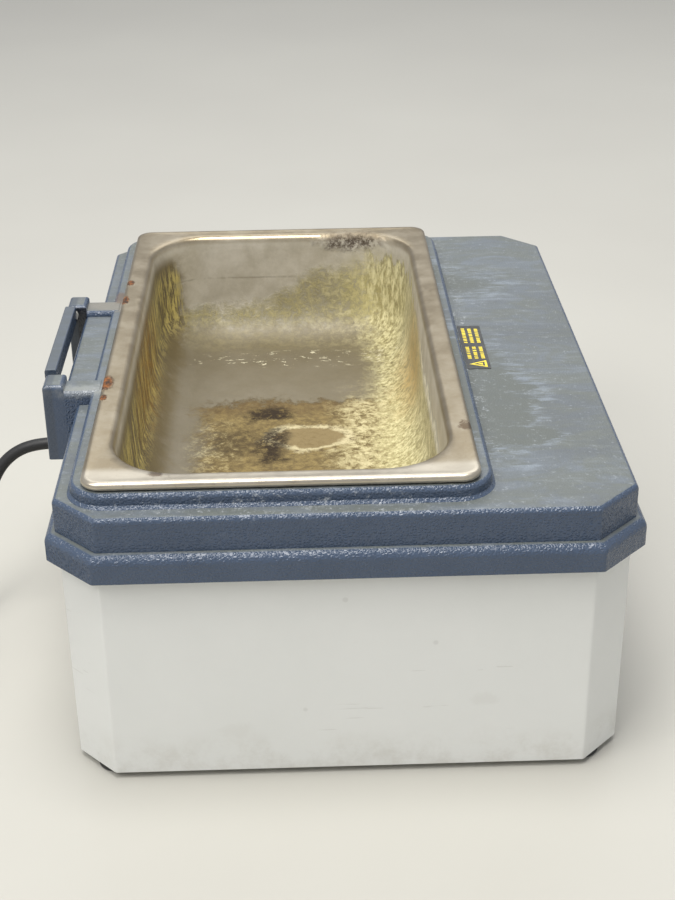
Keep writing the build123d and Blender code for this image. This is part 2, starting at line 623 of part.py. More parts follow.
# ---------------------------------------------------------------- rear fittings
def breaker_body():
    """Threaded resettable breaker, its block inside and its collar outside."""
    block = slab(REAR_X + 8, REAR_X + 34, BREAKER_Y - 8, BREAKER_Y + 8, BREAKER_Z - 13, BREAKER_Z + 13)
    neck = rod_x(5.4, REAR_X - 4.4, REAR_X + 8, BREAKER_Y, BREAKER_Z)
    body = block + neck
    return body - rod_x(3.3, REAR_X - 5, REAR_X + 9, BREAKER_Y, BREAKER_Z)


def breaker_nut():
    """Slim hexagon nut that clamps the breaker's neck to the rear wall."""
    blank = Pos(REAR_X - 2.8, BREAKER_Y, BREAKER_Z) * X_AXIS * extrude(RegularPolygon(7.5, 6, major_radius=False), 2.8)
    return blank - rod_x(5.42, REAR_X - 5, REAR_X + 1, BREAKER_Y, BREAKER_Z)


def breaker_button():
    button = rod_x(3.3 - RUN, REAR_X - 6.0, REAR_X + 6, BREAKER_Y, BREAKER_Z)
    return fillet(button.edges().group_by(Axis.X)[0], 0.9)


def rating_plate():
    plate = slab(REAR_X - 0.6, REAR_X, -62 - 35, -62 + 35, 62 - 21, 62 + 21)
    plate = fillet(plate.edges().filter_by(Axis.X), 3)
    for y, z in RIVETS:
        plate -= rod_x(1.25, REAR_X - 2, REAR_X + 1, y, z)
    return plate


def plate_rivets():
    rivets = []
    for y, z in RIVETS:
        head = rod_x(2.2, REAR_X - 1.6, REAR_X - 0.6, y, z)
        head = fillet(head.edges().group_by(Axis.X)[0], 0.8)
        rivets.append(head + rod_x(1.2, REAR_X - 0.6, REAR_X + 4, y, z))
    return group(rivets)


def cord_bushing():
    """Snap bushing that lines the lead's hole."""
    flange = rod_x(8.0, REAR_X - 1.5, REAR_X, 0, CORD_Z)
    flange = fillet(flange.edges().group_by(Axis.X)[0], 0.7)
    return flange + rod_x(6.3, REAR_X, REAR_X + 3.0, 0, CORD_Z)


def caution_label():
    """Thin blank sticker on the deck, beside the pan."""
    return rounded(73.2, 0.2, 12.3, 56.5, 0.8, DECK_Z, DECK_Z + 0.25)


# ---------------------------------------------------------------- hinge
def hinge_bar():
    """Bar between the ears that a lid clips to; it turns on two short pins."""
    bar = slab(BAR_X0, BAR_X1, -BAR_HALF, BAR_HALF, BAR_Z0, BAR_Z1)
    long_edges = bar.edges().filter_by(Axis.Y)
    bar = fillet(long_edges.group_by(Axis.Z)[0], 2.2)
    bar = fillet(bar.edges().filter_by(Axis.Y).group_by(Axis.Z)[-1], 0.8)
    for side in (-1, 1):
        y0, y1 = sorted((side * (BAR_HALF - 11), side * (BAR_HALF + 1)))
        bar -= rod_y(HINGE_PIN_R + RUN, y0, y1, HINGE_X, HINGE_Z)
    return bar


def hinge_pins():
    pins = []
    for side in (-1, 1):
        y0, y1 = sorted((side * (BAR_HALF - 10), side * (ARM_IN + 10)))
        pins.append(rod_y(HINGE_PIN_R, y0, y1, HINGE_X, HINGE_Z))
    return group(pins)


def hinge_washers():
    washers = []
    for side in (-1, 1):
        y0, y1 = sorted((side * (BAR_HALF + 0.15), side * ARM_IN))
        ring = rod_y(2.9, y0, y1, HINGE_X, HINGE_Z)
        washers.append(ring - rod_y(HINGE_PIN_R + 0.02, y0 - 1, y1 + 1, HINGE_X, HINGE_Z))
    return group(washers)


# ---------------------------------------------------------------- mains lead
LAYERS = [COIL_BASE + CORD_D * (i + 0.5) for i in range(4)]
TAIL_START = (COIL_X - COIL_END, COIL_Y, LAYERS[3])
PLUG_X, PLUG_Y0, PLUG_AXIS_Z = -284.2, -8.0, 12.5

LEAD_ROUTE = [
    (RELIEF_END_X, 0, CORD_Z), (-161.2, 0, CORD_Z), (-174.4, -0.4, 86.6), (-184.6, -2.6, 77.2), (-190.8, -8.0, 63.0),
    (-194.6, -18.0, 45.0), (-199.5, -33.0, 26.0), (-204.5, -52.0, 11.0), (-207.8, -74.0, 4.6),
    (COIL_X + COIL_OUT, COIL_Y, LAYERS[0]),
]
TAIL_ROUTE = [
    TAIL_START, (COIL_X - COIL_END - 0.6, COIL_Y + 20, LAYERS[3] - 0.1), (-286.7, COIL_Y + 42, 22.6),
    (PLUG_X, COIL_Y + 66, PLUG_AXIS_Z), (PLUG_X, PLUG_Y0, PLUG_AXIS_Z),
]


def strain_relief():
    """Tapered sleeve on the lead, with grip rings."""
    x0, x1 = RELIEF_END_X, REAR_X - 1.5
    sleeve = Pos(x0, 0, CORD_Z) * X_AXIS * Cone(4.3, 6.6, x1 - x0, align=UP)
    for i in range(4):
        x = x0 + 3.5 + i * 3.6
        ring = rod_x(8, x, x + 1.2, 0, CORD_Z) - rod_x(3.9 + 0.42 * i, x - 1, x + 2, 0, CORD_Z)
        sleeve -= ring & slab(x0, x1, -9, 9, CORD_Z - 9, CORD_Z + 9)
    return sleeve


def cord_coil():
    """Outer shape of the wound lead: three spiral layers of two turns, and half a turn on top."""
    inner, outer = COIL_IN - CORD_D / 2, COIL_OUT + CORD_D / 2
    height = 3 * CORD_D
    ring = post(outer, COIL_X, COIL_Y, COIL_BASE, COIL_BASE + height)
    top = post(COIL_END + CORD_D / 2, COIL_X, COIL_Y, COIL_BASE + height, COIL_BASE + 4 * CORD_D)
    return ring + top - post(inner, COIL_X, COIL_Y, COIL_BASE - 1, COIL_BASE + 5 * CORD_D)


def cord_tie():
    """Releasable strap round the coil's section."""
    middle = (COIL_IN + COIL_OUT) / 2
    half_w, height = 1.5 * CORD_D + 0.25, 4 * CORD_D + 0.4
    strap, band = 0.7, 7.0
    angle = math.radians(-60)
    outer = Box(2 * (half_w + strap), band, height + 2 * strap)
    inner = Box(2 * half_w, band + 2, height)
    place = Pos(COIL_X + middle * math.cos(angle), COIL_Y + middle * math.sin(angle), COIL_BASE + 2 * CORD_D)
    return place * Rot(0, 0, -60) * (outer - inner)


def plug_body():
    """Moulded three-pin mains plug with a ribbed grip, lying on the bench."""
    length, width, height = 38.0, 24.0, 2 * PLUG_AXIS_Z
    body = slab(PLUG_X - width / 2, PLUG_X + width / 2, PLUG_Y0 + 14, PLUG_Y0 + length, 0, height)
    body = fillet(body.edges().filter_by(Axis.Y), 6)
    body = fillet(body.edges().group_by(Axis.Y)[0], 3)
    neck = Pos(PLUG_X, PLUG_Y0, PLUG_AXIS_Z) * Y_AXIS * Cone(4.6, 8.5, 16, align=UP)
    for i in range(3):
        y = PLUG_Y0 + 19 + i * 4.5
        for side in (-1, 1):
            x = PLUG_X + side * width / 2
            body -= slab(x - 0.8, x + 0.8, y, y + 2, 6, height - 6)
    return body + neck


def plug_pins():
    """Two flat blades and one round earth pin."""
    y0 = PLUG_Y0 + 38.0
    z = PLUG_AXIS_Z
    blades = [slab(PLUG_X + s * 6.35 - 0.75, PLUG_X + s * 6.35 + 0.75, y0, y0 + 17, z + 0.5, z + 6.8) for s in (-1, 1)]
    earth = rod_y(2.4, y0, y0 + 20, PLUG_X, z - 7.2)
    return group([*blades, fillet(earth.edges().group_by(Axis.Y)[-1], 1.4)])


# ---------------------------------------------------------------- write every sub-part
save("lower_housing", lower_housing())
save("bottom_plate", bottom_plate())
save("bottom_screws", group([pan_head_up(x, y, FOOT_H, 3.0, 1.7, 1.5, 6) for x, y in BOTTOM_SCREWS]))
save("rubber_feet", group([rubber_foot(x, y) for x, y in FEET]))
save("foot_screws", group([pan_head_up(x, y, 1.9, 3.0, 1.5, 1.5, 7.0) for x, y in FEET]))
save("foot_nuts", group([hexagon_nut(5.5, 2.4, 1.52, x, y, PLATE_TOP) for x, y in FEET]))

save("top_cover", top_cover())
save("cover_screws", group([pan_head_up(x, y, HOUSING_TOP - SHEET, 3.6, 2.2, 1.73, 9.0) for x, y in COVER_SCREWS]))
save("bath_pan", bath_pan())
save("pan_gasket", pan_gasket())
save("pan_insulation", pan_insulation())
save("pan_straps", group([pan_strap(y) for y in STRAP_YS]))
strap_places = [(x, y) for y in STRAP_YS for x in STRAP_SCREW_XS]
save("strap_screws", group([pan_head_up(x, y, HOUSING_TOP - SHEET, 2.8, 1.8, 1.43, 9.0) for x, y in strap_places]))
save("heater_mat", heater_mat())
save("heater_plate", heater_plate())
save("heat_shield", heat_shield())

for name in THERMOSTATS:
    save(f"{name}_bulb", bulb(name))
    save(f"{name}_capillary", capillary(name))
    save(f"{name}_thermostat", thermostat(name))
save("bulb_clips", bulb_clips())
save("thermostat_screws", thermostat_screws())
save("control_fascia", control_fascia())
save("fascia_screws", group([pan_head_x(FRONT_X + FASCIA_T, y, z, 2.8, 1.3, 1.4, 6) for y, z in FASCIA_SCREWS]))
save("temperature_knob", knob("control", 19.0, 25.0))
save("temperature_spindle", spindle("control"))
save("limit_knob", knob("limit", 11.0, 15.5))
save("limit_spindle", spindle("limit"))
save("switch_body", switch_body())
save("switch_rocker", switch_rocker())
save("heater_lamp", lamp(LAMP_YS[0]))
save("limit_lamp", lamp(LAMP_YS[1]))

save("terminal_block", terminal_block())
save("terminal_screws", terminal_screws())
save("ground_stud", ground_stud())
save("ground_nut", hexagon_nut(7.0, 3.2, 2.02, GROUND_X, GROUND_Y, PLATE_TOP + 1))
save("inner_mains_wires", inner_mains_wires())
save("heater_leads", heater_leads())
save("switch_leads", switch_leads())

save("breaker_body", breaker_body())
save("breaker_nut", breaker_nut())
save("breaker_button", breaker_button())
save("rating_plate", rating_plate())
save("plate_rivets", plate_rivets())
save("cord_bushing", cord_bushing())
save("caution_label", caution_label())

save("hinge_bar", hinge_bar())
save("hinge_pins", hinge_pins())
save("hinge_washers", hinge_washers())

save("strain_relief", strain_relief())
lead, lead_length = tube(LEAD_ROUTE, CORD_D / 2, "mains lead")
tail, tail_length = tube(TAIL_ROUTE, CORD_D / 2, "mains lead tail")
save("power_cord", lead)
save("cord_tail", tail)
save("cord_coil", cord_coil())
save("cord_tie", cord_tie())
save("plug_body", plug_body())
save("plug_pins", plug_pins())
wound = math.pi * (6 * (COIL_IN + COIL_OUT) + (COIL_IN + COIL_END) / 2)
print(f"lead: {lead_length:.0f} + {wound:.0f} wound + {tail_length:.0f} = {lead_length + wound + tail_length:.0f} mm")
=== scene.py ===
import math
import random

import bmesh
import bpy
from mathutils import Matrix, Vector
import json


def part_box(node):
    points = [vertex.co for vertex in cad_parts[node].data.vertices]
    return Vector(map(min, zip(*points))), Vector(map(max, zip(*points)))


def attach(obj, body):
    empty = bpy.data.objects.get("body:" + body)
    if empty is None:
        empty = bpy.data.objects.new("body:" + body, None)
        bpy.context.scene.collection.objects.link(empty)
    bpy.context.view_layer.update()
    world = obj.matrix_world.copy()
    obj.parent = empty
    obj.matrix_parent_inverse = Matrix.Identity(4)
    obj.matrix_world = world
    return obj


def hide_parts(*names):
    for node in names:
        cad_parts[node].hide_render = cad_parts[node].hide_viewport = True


# Looks of a bench-top laboratory water bath, built round its CAD frame.
# Metres, +Z up, floor at z = 0. +X is the front with the controls, -X the rear with hinge and mains lead.

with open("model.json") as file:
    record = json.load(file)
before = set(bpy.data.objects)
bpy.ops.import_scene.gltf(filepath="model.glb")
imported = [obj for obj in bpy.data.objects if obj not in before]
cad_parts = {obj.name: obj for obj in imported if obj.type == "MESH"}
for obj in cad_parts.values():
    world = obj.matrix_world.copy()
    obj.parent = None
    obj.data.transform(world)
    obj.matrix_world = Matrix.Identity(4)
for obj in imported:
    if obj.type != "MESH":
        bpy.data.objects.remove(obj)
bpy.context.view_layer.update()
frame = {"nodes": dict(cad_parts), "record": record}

MM = 0.001


# ---------------------------------------------------------------- camera
CAMERA_AT = (-0.0196, -0.7551, 0.4752)
CAMERA_YAW, CAMERA_PITCH, CAMERA_ROLL = math.radians(1.51), math.radians(-27.5), math.radians(-0.71)
CAMERA_LENS, CAMERA_SENSOR = 62.24, 36.0


def make_camera():
    """Looks along +Y and down, a little to the right of straight ahead."""
    ahead = Vector((
        math.sin(CAMERA_YAW) * math.cos(CAMERA_PITCH),
        math.cos(CAMERA_YAW) * math.cos(CAMERA_PITCH),
        math.sin(CAMERA_PITCH),
    ))
    level = Vector((math.cos(CAMERA_YAW), -math.sin(CAMERA_YAW), 0))
    upright = level.cross(ahead)
    right = level * math.cos(CAMERA_ROLL) + upright * math.sin(CAMERA_ROLL)
    up = upright * math.cos(CAMERA_ROLL) - level * math.sin(CAMERA_ROLL)
    data = bpy.data.cameras.new("camera")
    data.sensor_width = CAMERA_SENSOR
    data.lens = CAMERA_LENS
    data.clip_start, data.clip_end = 0.05, 50
    camera = bpy.data.objects.new("camera", data)
    bpy.context.scene.collection.objects.link(camera)
    camera.matrix_world = Matrix.Translation(CAMERA_AT) @ Matrix((right, up, -ahead)).transposed().to_4x4()
    bpy.context.scene.camera = camera


# ---------------------------------------------------------------- mains lead
CORD_D = 0.0064
CORD_EXIT = (-0.1505, 0, 0.0907)
COIL_X, COIL_Y, COIL_BASE = -0.2532, -0.095, 0.001
COIL_IN, COIL_OUT = 5 * CORD_D, 7 * CORD_D
COIL_TURNS, TURN_POINTS, TURNS_PER_LAYER = 6.5, 16, 2
CLIMB = 0.18                                  # share of a turn over which the lead climbs a layer
PLUG_X, PLUG_Y, PLUG_Z = -0.2842, -0.008, 0.0125

LEAD_ROUTE = [
    CORD_EXIT, (-0.1612, 0, 0.0907), (-0.1744, -0.0004, 0.0866), (-0.1846, -0.0026, 0.0772),
    (-0.1908, -0.008, 0.063), (-0.1946, -0.018, 0.045), (-0.1995, -0.033, 0.026), (-0.2045, -0.052, 0.011),
    (-0.2078, -0.074, 0.0046),
]
TAIL_ROUTE = [
    (-0.289, -0.075, 0.0233), (-0.2867, -0.053, 0.0226), (PLUG_X, -0.029, PLUG_Z), (PLUG_X, PLUG_Y, PLUG_Z),
]


def coil_route():
    """Spiral layers, wound inwards and outwards in turn, each climbing gently to the next."""
    outside = 1 / math.cos(math.pi / TURN_POINTS)    # the spline runs inside its control points
    points = []
    for step in range(int(COIL_TURNS * TURN_POINTS) + 1):
        turns = step / TURN_POINTS
        layer, along = divmod(turns, TURNS_PER_LAYER)
        radius = COIL_OUT - along * CORD_D if layer % 2 == 0 else COIL_IN + along * CORD_D
        if step == COIL_TURNS * TURN_POINTS:
            radius = COIL_IN + CORD_D / 2
        nearest = round(turns / TURNS_PER_LAYER)
        climb = min(max((turns - nearest * TURNS_PER_LAYER) / CLIMB + 0.5, 0), 1) if nearest else 1
        level = max(nearest - 1, 0) + climb * (nearest > 0)
        angle = -2 * math.pi * turns
        points.append((
            COIL_X + radius * outside * math.cos(angle),
            COIL_Y + radius * outside * math.sin(angle),
            COIL_BASE + CORD_D * (0.5 + level),
        ))
    return points


def nurbs_tube(name, points, diameter, material):
    """Round tube on one open spline whose control points are the given points."""
    curve = bpy.data.curves.new(name, "CURVE")
    curve.dimensions = "3D"
    curve.bevel_depth = diameter / 2
    curve.bevel_resolution = 7
    curve.resolution_u = 10
    curve.use_fill_caps = True
    spline = curve.splines.new("NURBS")
    spline.points.add(len(points) - 1)
    for control, place in zip(spline.points, points):
        control.co = (*place, 1)
    spline.order_u = 3
    spline.use_endpoint_u = True
    piece = bpy.data.objects.new(name, curve)
    bpy.context.scene.collection.objects.link(piece)
    curve.materials.append(material)
    return piece


# ---------------------------------------------------------------- node trees
class Look:
    """One material. Its calls add shader nodes and return their output sockets."""

    def __init__(self, name, colour, roughness, metallic=0.0, **settings):
        self.material = bpy.data.materials.new(name)
        self.material.use_nodes = True
        self.tree = self.material.node_tree
        self.shader = self.tree.nodes["Principled BSDF"]
        self.feed(self.shader.inputs["Base Color"], (*colour, 1))
        self.feed(self.shader.inputs["Roughness"], roughness)
        self.feed(self.shader.inputs["Metallic"], metallic)
        names = {"specular": "Specular IOR Level", "coat": "Coat Weight"}
        for key, value in settings.items():
            self.shader.inputs[names[key]].default_value = value
        coordinates = self.tree.nodes.new("ShaderNodeTexCoord")
        self.place = coordinates.outputs["Object"]
        self.facing = coordinates.outputs["Normal"]

    def feed(self, socket, value):
        if isinstance(value, bpy.types.NodeSocket):
            self.tree.links.new(value, socket)
        else:
            socket.default_value = value

    def paint(self, **channels):
        """Links sockets to the shader: colour, roughness, metallic or normal."""
        names = {"colour": "Base Color", "roughness": "Roughness", "metallic": "Metallic", "normal": "Normal"}
        for key, value in channels.items():
            self.feed(self.shader.inputs[names[key]], value)
        return self.material

    def calc(self, operation, a, b=0.0, clamp=False):
        node = self.tree.nodes.new("ShaderNodeMath")
        node.operation = operation
        node.use_clamp = clamp
        self.feed(node.inputs[0], a)
        self.feed(node.inputs[1], b)
        return node.outputs[0]

    def add(self, *values):
        total = values[0]
        for value in values[1:]:
            total = self.calc("ADD", total, value)
        return total

    def times(self, *values):
        product = values[0]
        for value in values[1:]:
            product = self.calc("MULTIPLY", product, value)
        return product

    def invert(self, value):
        return self.calc("SUBTRACT", 1.0, value)

    def most(self, *values):
        result = values[0]
        for value in values[1:]:
            result = self.calc("MAXIMUM", result, value)
        return result

    def fade(self, value, low, high, start=0.0, end=1.0):
        """Smooth step from start to end while value goes from low to high."""
        node = self.tree.nodes.new("ShaderNodeMapRange")
        node.interpolation_type = "SMOOTHSTEP"
        self.feed(node.inputs["Value"], value)
        for key, number in (("From Min", low), ("From Max", high), ("To Min", start), ("To Max", end)):
            self.feed(node.inputs[key], number)
        return node.outputs["Result"]

    def mix(self, factor, a, b):
        node = self.tree.nodes.new("ShaderNodeMix")
        node.data_type = "RGBA"
        self.feed(node.inputs[0], factor)
        self.feed(node.inputs[6], a if isinstance(a, bpy.types.NodeSocket) else (*a, 1))
        self.feed(node.inputs[7], b if isinstance(b, bpy.types.NodeSocket) else (*b, 1))
        return node.outputs[2]

    def blend(self, factor, a, b):
        """Number between a and b."""
        node = self.tree.nodes.new("ShaderNodeMix")
        self.feed(node.inputs[0], factor)
        self.feed(node.inputs[2], a)
        self.feed(node.inputs[3], b)
        return node.outputs[0]

    def moved(self, stretch=(1, 1, 1), offset=(0, 0, 0), turn=(0, 0, 0)):
        node = self.tree.nodes.new("ShaderNodeMapping")
        self.feed(node.inputs["Vector"], self.place)
        node.inputs["Scale"].default_value = stretch
        node.inputs["Location"].default_value = offset
        node.inputs["Rotation"].default_value = turn
        return node.outputs[0]

    def noise(self, scale, detail=4.0, rough=0.55, warp=0.0, **where):
        node = self.tree.nodes.new("ShaderNodeTexNoise")
        self.feed(node.inputs["Vector"], self.moved(**where) if where else self.place)
        node.inputs["Scale"].default_value = scale
        node.inputs["Detail"].default_value = detail
        node.inputs["Roughness"].default_value = rough
        node.inputs["Distortion"].default_value = warp
        return node.outputs[0]

    def cells(self, scale, feature="F1"):
        node = self.tree.nodes.new("ShaderNodeTexVoronoi")
        node.feature = feature
        self.feed(node.inputs["Vector"], self.place)
        node.inputs["Scale"].default_value = scale
        return node.outputs["Distance"]

    def axes(self, vector=None):
        node = self.tree.nodes.new("ShaderNodeSeparateXYZ")
        self.feed(node.inputs[0], self.place if vector is None else vector)
        return node.outputs[0], node.outputs[1], node.outputs[2]

    def reach(self, centre, radii):
        """Distance from centre in units of the three radii."""
        node = self.tree.nodes.new("ShaderNodeVectorMath")
        node.operation = "SUBTRACT"
        self.feed(node.inputs[0], self.place)
        node.inputs[1].default_value = centre
        scaled = self.tree.nodes.new("ShaderNodeVectorMath")
        scaled.operation = "DIVIDE"
        self.feed(scaled.inputs[0], node.outputs[0])
        scaled.inputs[1].default_value = radii
        length = self.tree.nodes.new("ShaderNodeVectorMath")
        length.operation = "LENGTH"
        self.feed(length.inputs[0], scaled.outputs[0])
        return length.outputs["Value"]

    def patch(self, centre, radii, ragged=0.5, edge=0.25, grain=None, size=70):
        """Ragged-edged blob: 1 inside, 0 outside. Places are in millimetres."""
        away = self.reach([c * MM for c in centre], [r * MM for r in radii])
        rough = self.noise(size, detail=6, rough=0.65) if grain is None else grain
        field = self.add(away, self.times(self.calc("SUBTRACT", rough, 0.5), ragged * 2))
        return self.fade(field, 1 + edge, 1 - edge)

    def bump(self, height, depth, strength=1.0, under=None):
        """Normal from a height of 0 to 1 that stands for depth metres."""
        node = self.tree.nodes.new("ShaderNodeBump")
        self.feed(node.inputs["Height"], height)
        node.inputs["Distance"].default_value = depth
        self.feed(node.inputs["Strength"], strength)
        if under is not None:
            self.feed(node.inputs["Normal"], under)
        return node.outputs[0]


def shade(red, green, blue):
    """Linear colour from 0-255 display values."""
    return tuple(((c / 255 + 0.055) / 1.055) ** 2.4 if c > 10 else c / 255 / 12.92 for c in (red, green, blue))


# ---------------------------------------------------------------- materials that show most
def leather_grain(look, size):
    """Height of a moulded leather grain: pebbles parted by fine creases."""
    creases = look.fade(look.cells(size, "DISTANCE_TO_EDGE"), 0.0, 0.4)
    pebbles = look.noise(size * 0.6, detail=1, rough=0.4)
    return look.add(look.times(creases, 0.5), look.times(pebbles, 0.8))


def cover_plastic():
    """Slate-blue grained plastic, dulled and water-stained where it faces up."""
    look = Look("cover_plastic", (0.07, 0.1, 0.16), 0.42, specular=0.6)
    x, y = look.axes()[:2]
    up = look.axes(look.facing)[2]
    level = look.fade(up, 0.9, 0.99)
    grain = leather_grain(look, 640)
    broad = look.noise(9, detail=6, rough=0.62, warp=0.6)
    washed = look.noise(26, detail=8, rough=0.68, warp=1.2, stretch=(1, 2.2, 1))
    brushed = look.noise(230, detail=7, rough=0.72, stretch=(0.22, 1, 1))
    fine = look.noise(420, detail=3, rough=0.7)

    base = look.mix(look.noise(60, detail=5), shade(58, 72, 92), shade(70, 84, 105))
    haze = look.mix(look.fade(broad, 0.35, 0.68), shade(88, 93, 95), shade(107, 115, 123))
    olive = look.mix(washed, shade(84, 88, 82), shade(101, 105, 98))
    stain = look.fade(look.add(washed, look.times(broad, 0.7)), 0.72, 0.98)
    haze = look.mix(look.times(stain, 0.8), haze, olive)
    haze = look.mix(look.times(look.fade(brushed, 0.5, 0.7), 0.26), haze, shade(136, 143, 150))
    haze = look.mix(look.times(look.fade(brushed, 0.5, 0.32), 0.26), haze, shade(84, 90, 96))

    # the damp stain beside the pan, with a pointed lobe towards the near end
    ragged = look.noise(52, detail=9, rough=0.74, warp=0.5, stretch=(0.6, 1.6, 1))
    lobe = look.patch((82, -106, 142), (22, 11, 20), ragged=1.1, edge=0.16, grain=ragged)
    damp = look.most(
        look.patch((64, -58, 142), (33, 70, 20), ragged=1.0, edge=0.22, grain=ragged),
        look.patch((68, 92, 142), (30, 24, 20), ragged=0.8, edge=0.6, grain=ragged),
        lobe,
    )
    haze = look.mix(look.times(damp, 0.8), haze, shade(90, 94, 89))
    edge = look.times(damp, look.invert(damp), 4.0)
    haze = look.mix(look.times(edge, look.fade(brushed, 0.42, 0.6), 0.4), haze, shade(146, 156, 168))

    # mineral scale: fine specks on top, crumbs at the plinth's foot, a band round the near hinge arm; painted
    # light on the far arm
    speckle = look.fade(fine, 0.58, 0.72)
    haze = look.mix(look.times(speckle, 0.3), haze, shade(164, 170, 174))
    amount = look.times(level, look.fade(look.noise(150, detail=6, rough=0.7), 0.05, 0.5, 0.75, 1.0))
    colour = look.mix(amount, base, haze)
    plinth_foot = look.most(
        look.patch((68, 0, 143), (7, 160, 5), ragged=0.9, edge=0.5, grain=ragged),
        look.patch((-28, -168, 143), (96, 7, 5), ragged=0.9, edge=0.5, grain=ragged),
    )
    crumbs = look.fade(look.noise(330, detail=6, rough=0.8), 0.54, 0.66)
    colour = look.mix(look.times(plinth_foot, crumbs, 0.6), colour, shade(178, 182, 184))
    scale_band = look.patch((-122, -57, 148.5), (22, 5, 3), ragged=1.0, edge=0.6, size=240)
    colour = look.mix(look.times(scale_band, 0.42), colour, shade(160, 162, 158))
    # painted light: the far hinge arm's top tinted grey-brown, standing for its weaker reflection
    far_arm_tint = look.patch((-118, 52, 148.5), (24, 7, 4), ragged=0.5, edge=0.4, size=150)
    colour = look.mix(look.times(far_arm_tint, level, 0.75), colour, shade(128, 123, 112))
    rust = look.patch((-119, 64, 148), (3.5, 9, 5), ragged=0.9, edge=0.3, size=260)
    colour = look.mix(look.times(rust, 0.55), colour, shade(98, 72, 48))
    smear = look.fade(look.noise(30, detail=8, rough=0.75, stretch=(1, 1, 3)), 0.6, 0.75)
    colour = look.mix(look.times(smear, 0.16), colour, shade(142, 149, 158))

    # painted shade: dark inner faces of the hinge ears, standing for the deep shadow in the slot; and a greyer
    # handle
    across = look.calc("ABSOLUTE", y)
    ear_slot_shade = look.times(
        look.fade(across, 0.0446, 0.0442), look.fade(across, 0.0431, 0.0435), look.fade(x, -0.1355, -0.1362),
    )
    colour = look.mix(look.times(ear_slot_shade, 0.92), colour, shade(12, 14, 20))
    handle = look.fade(x, -0.1405, -0.1420)
    colour = look.mix(look.times(handle, 0.6), colour, shade(62, 70, 80))

    roughness = look.blend(level, 0.24, look.blend(damp, 0.5, 0.6))
    depth = look.times(look.blend(level, 1.0, 0.45), look.fade(x, -0.1375, -0.134, 0.3, 1.0))
    fine_bump = look.bump(grain, 0.00042, depth)
    return look.paint(colour=colour, roughness=roughness, normal=look.bump(broad, 0.0004, 0.2, fine_bump))


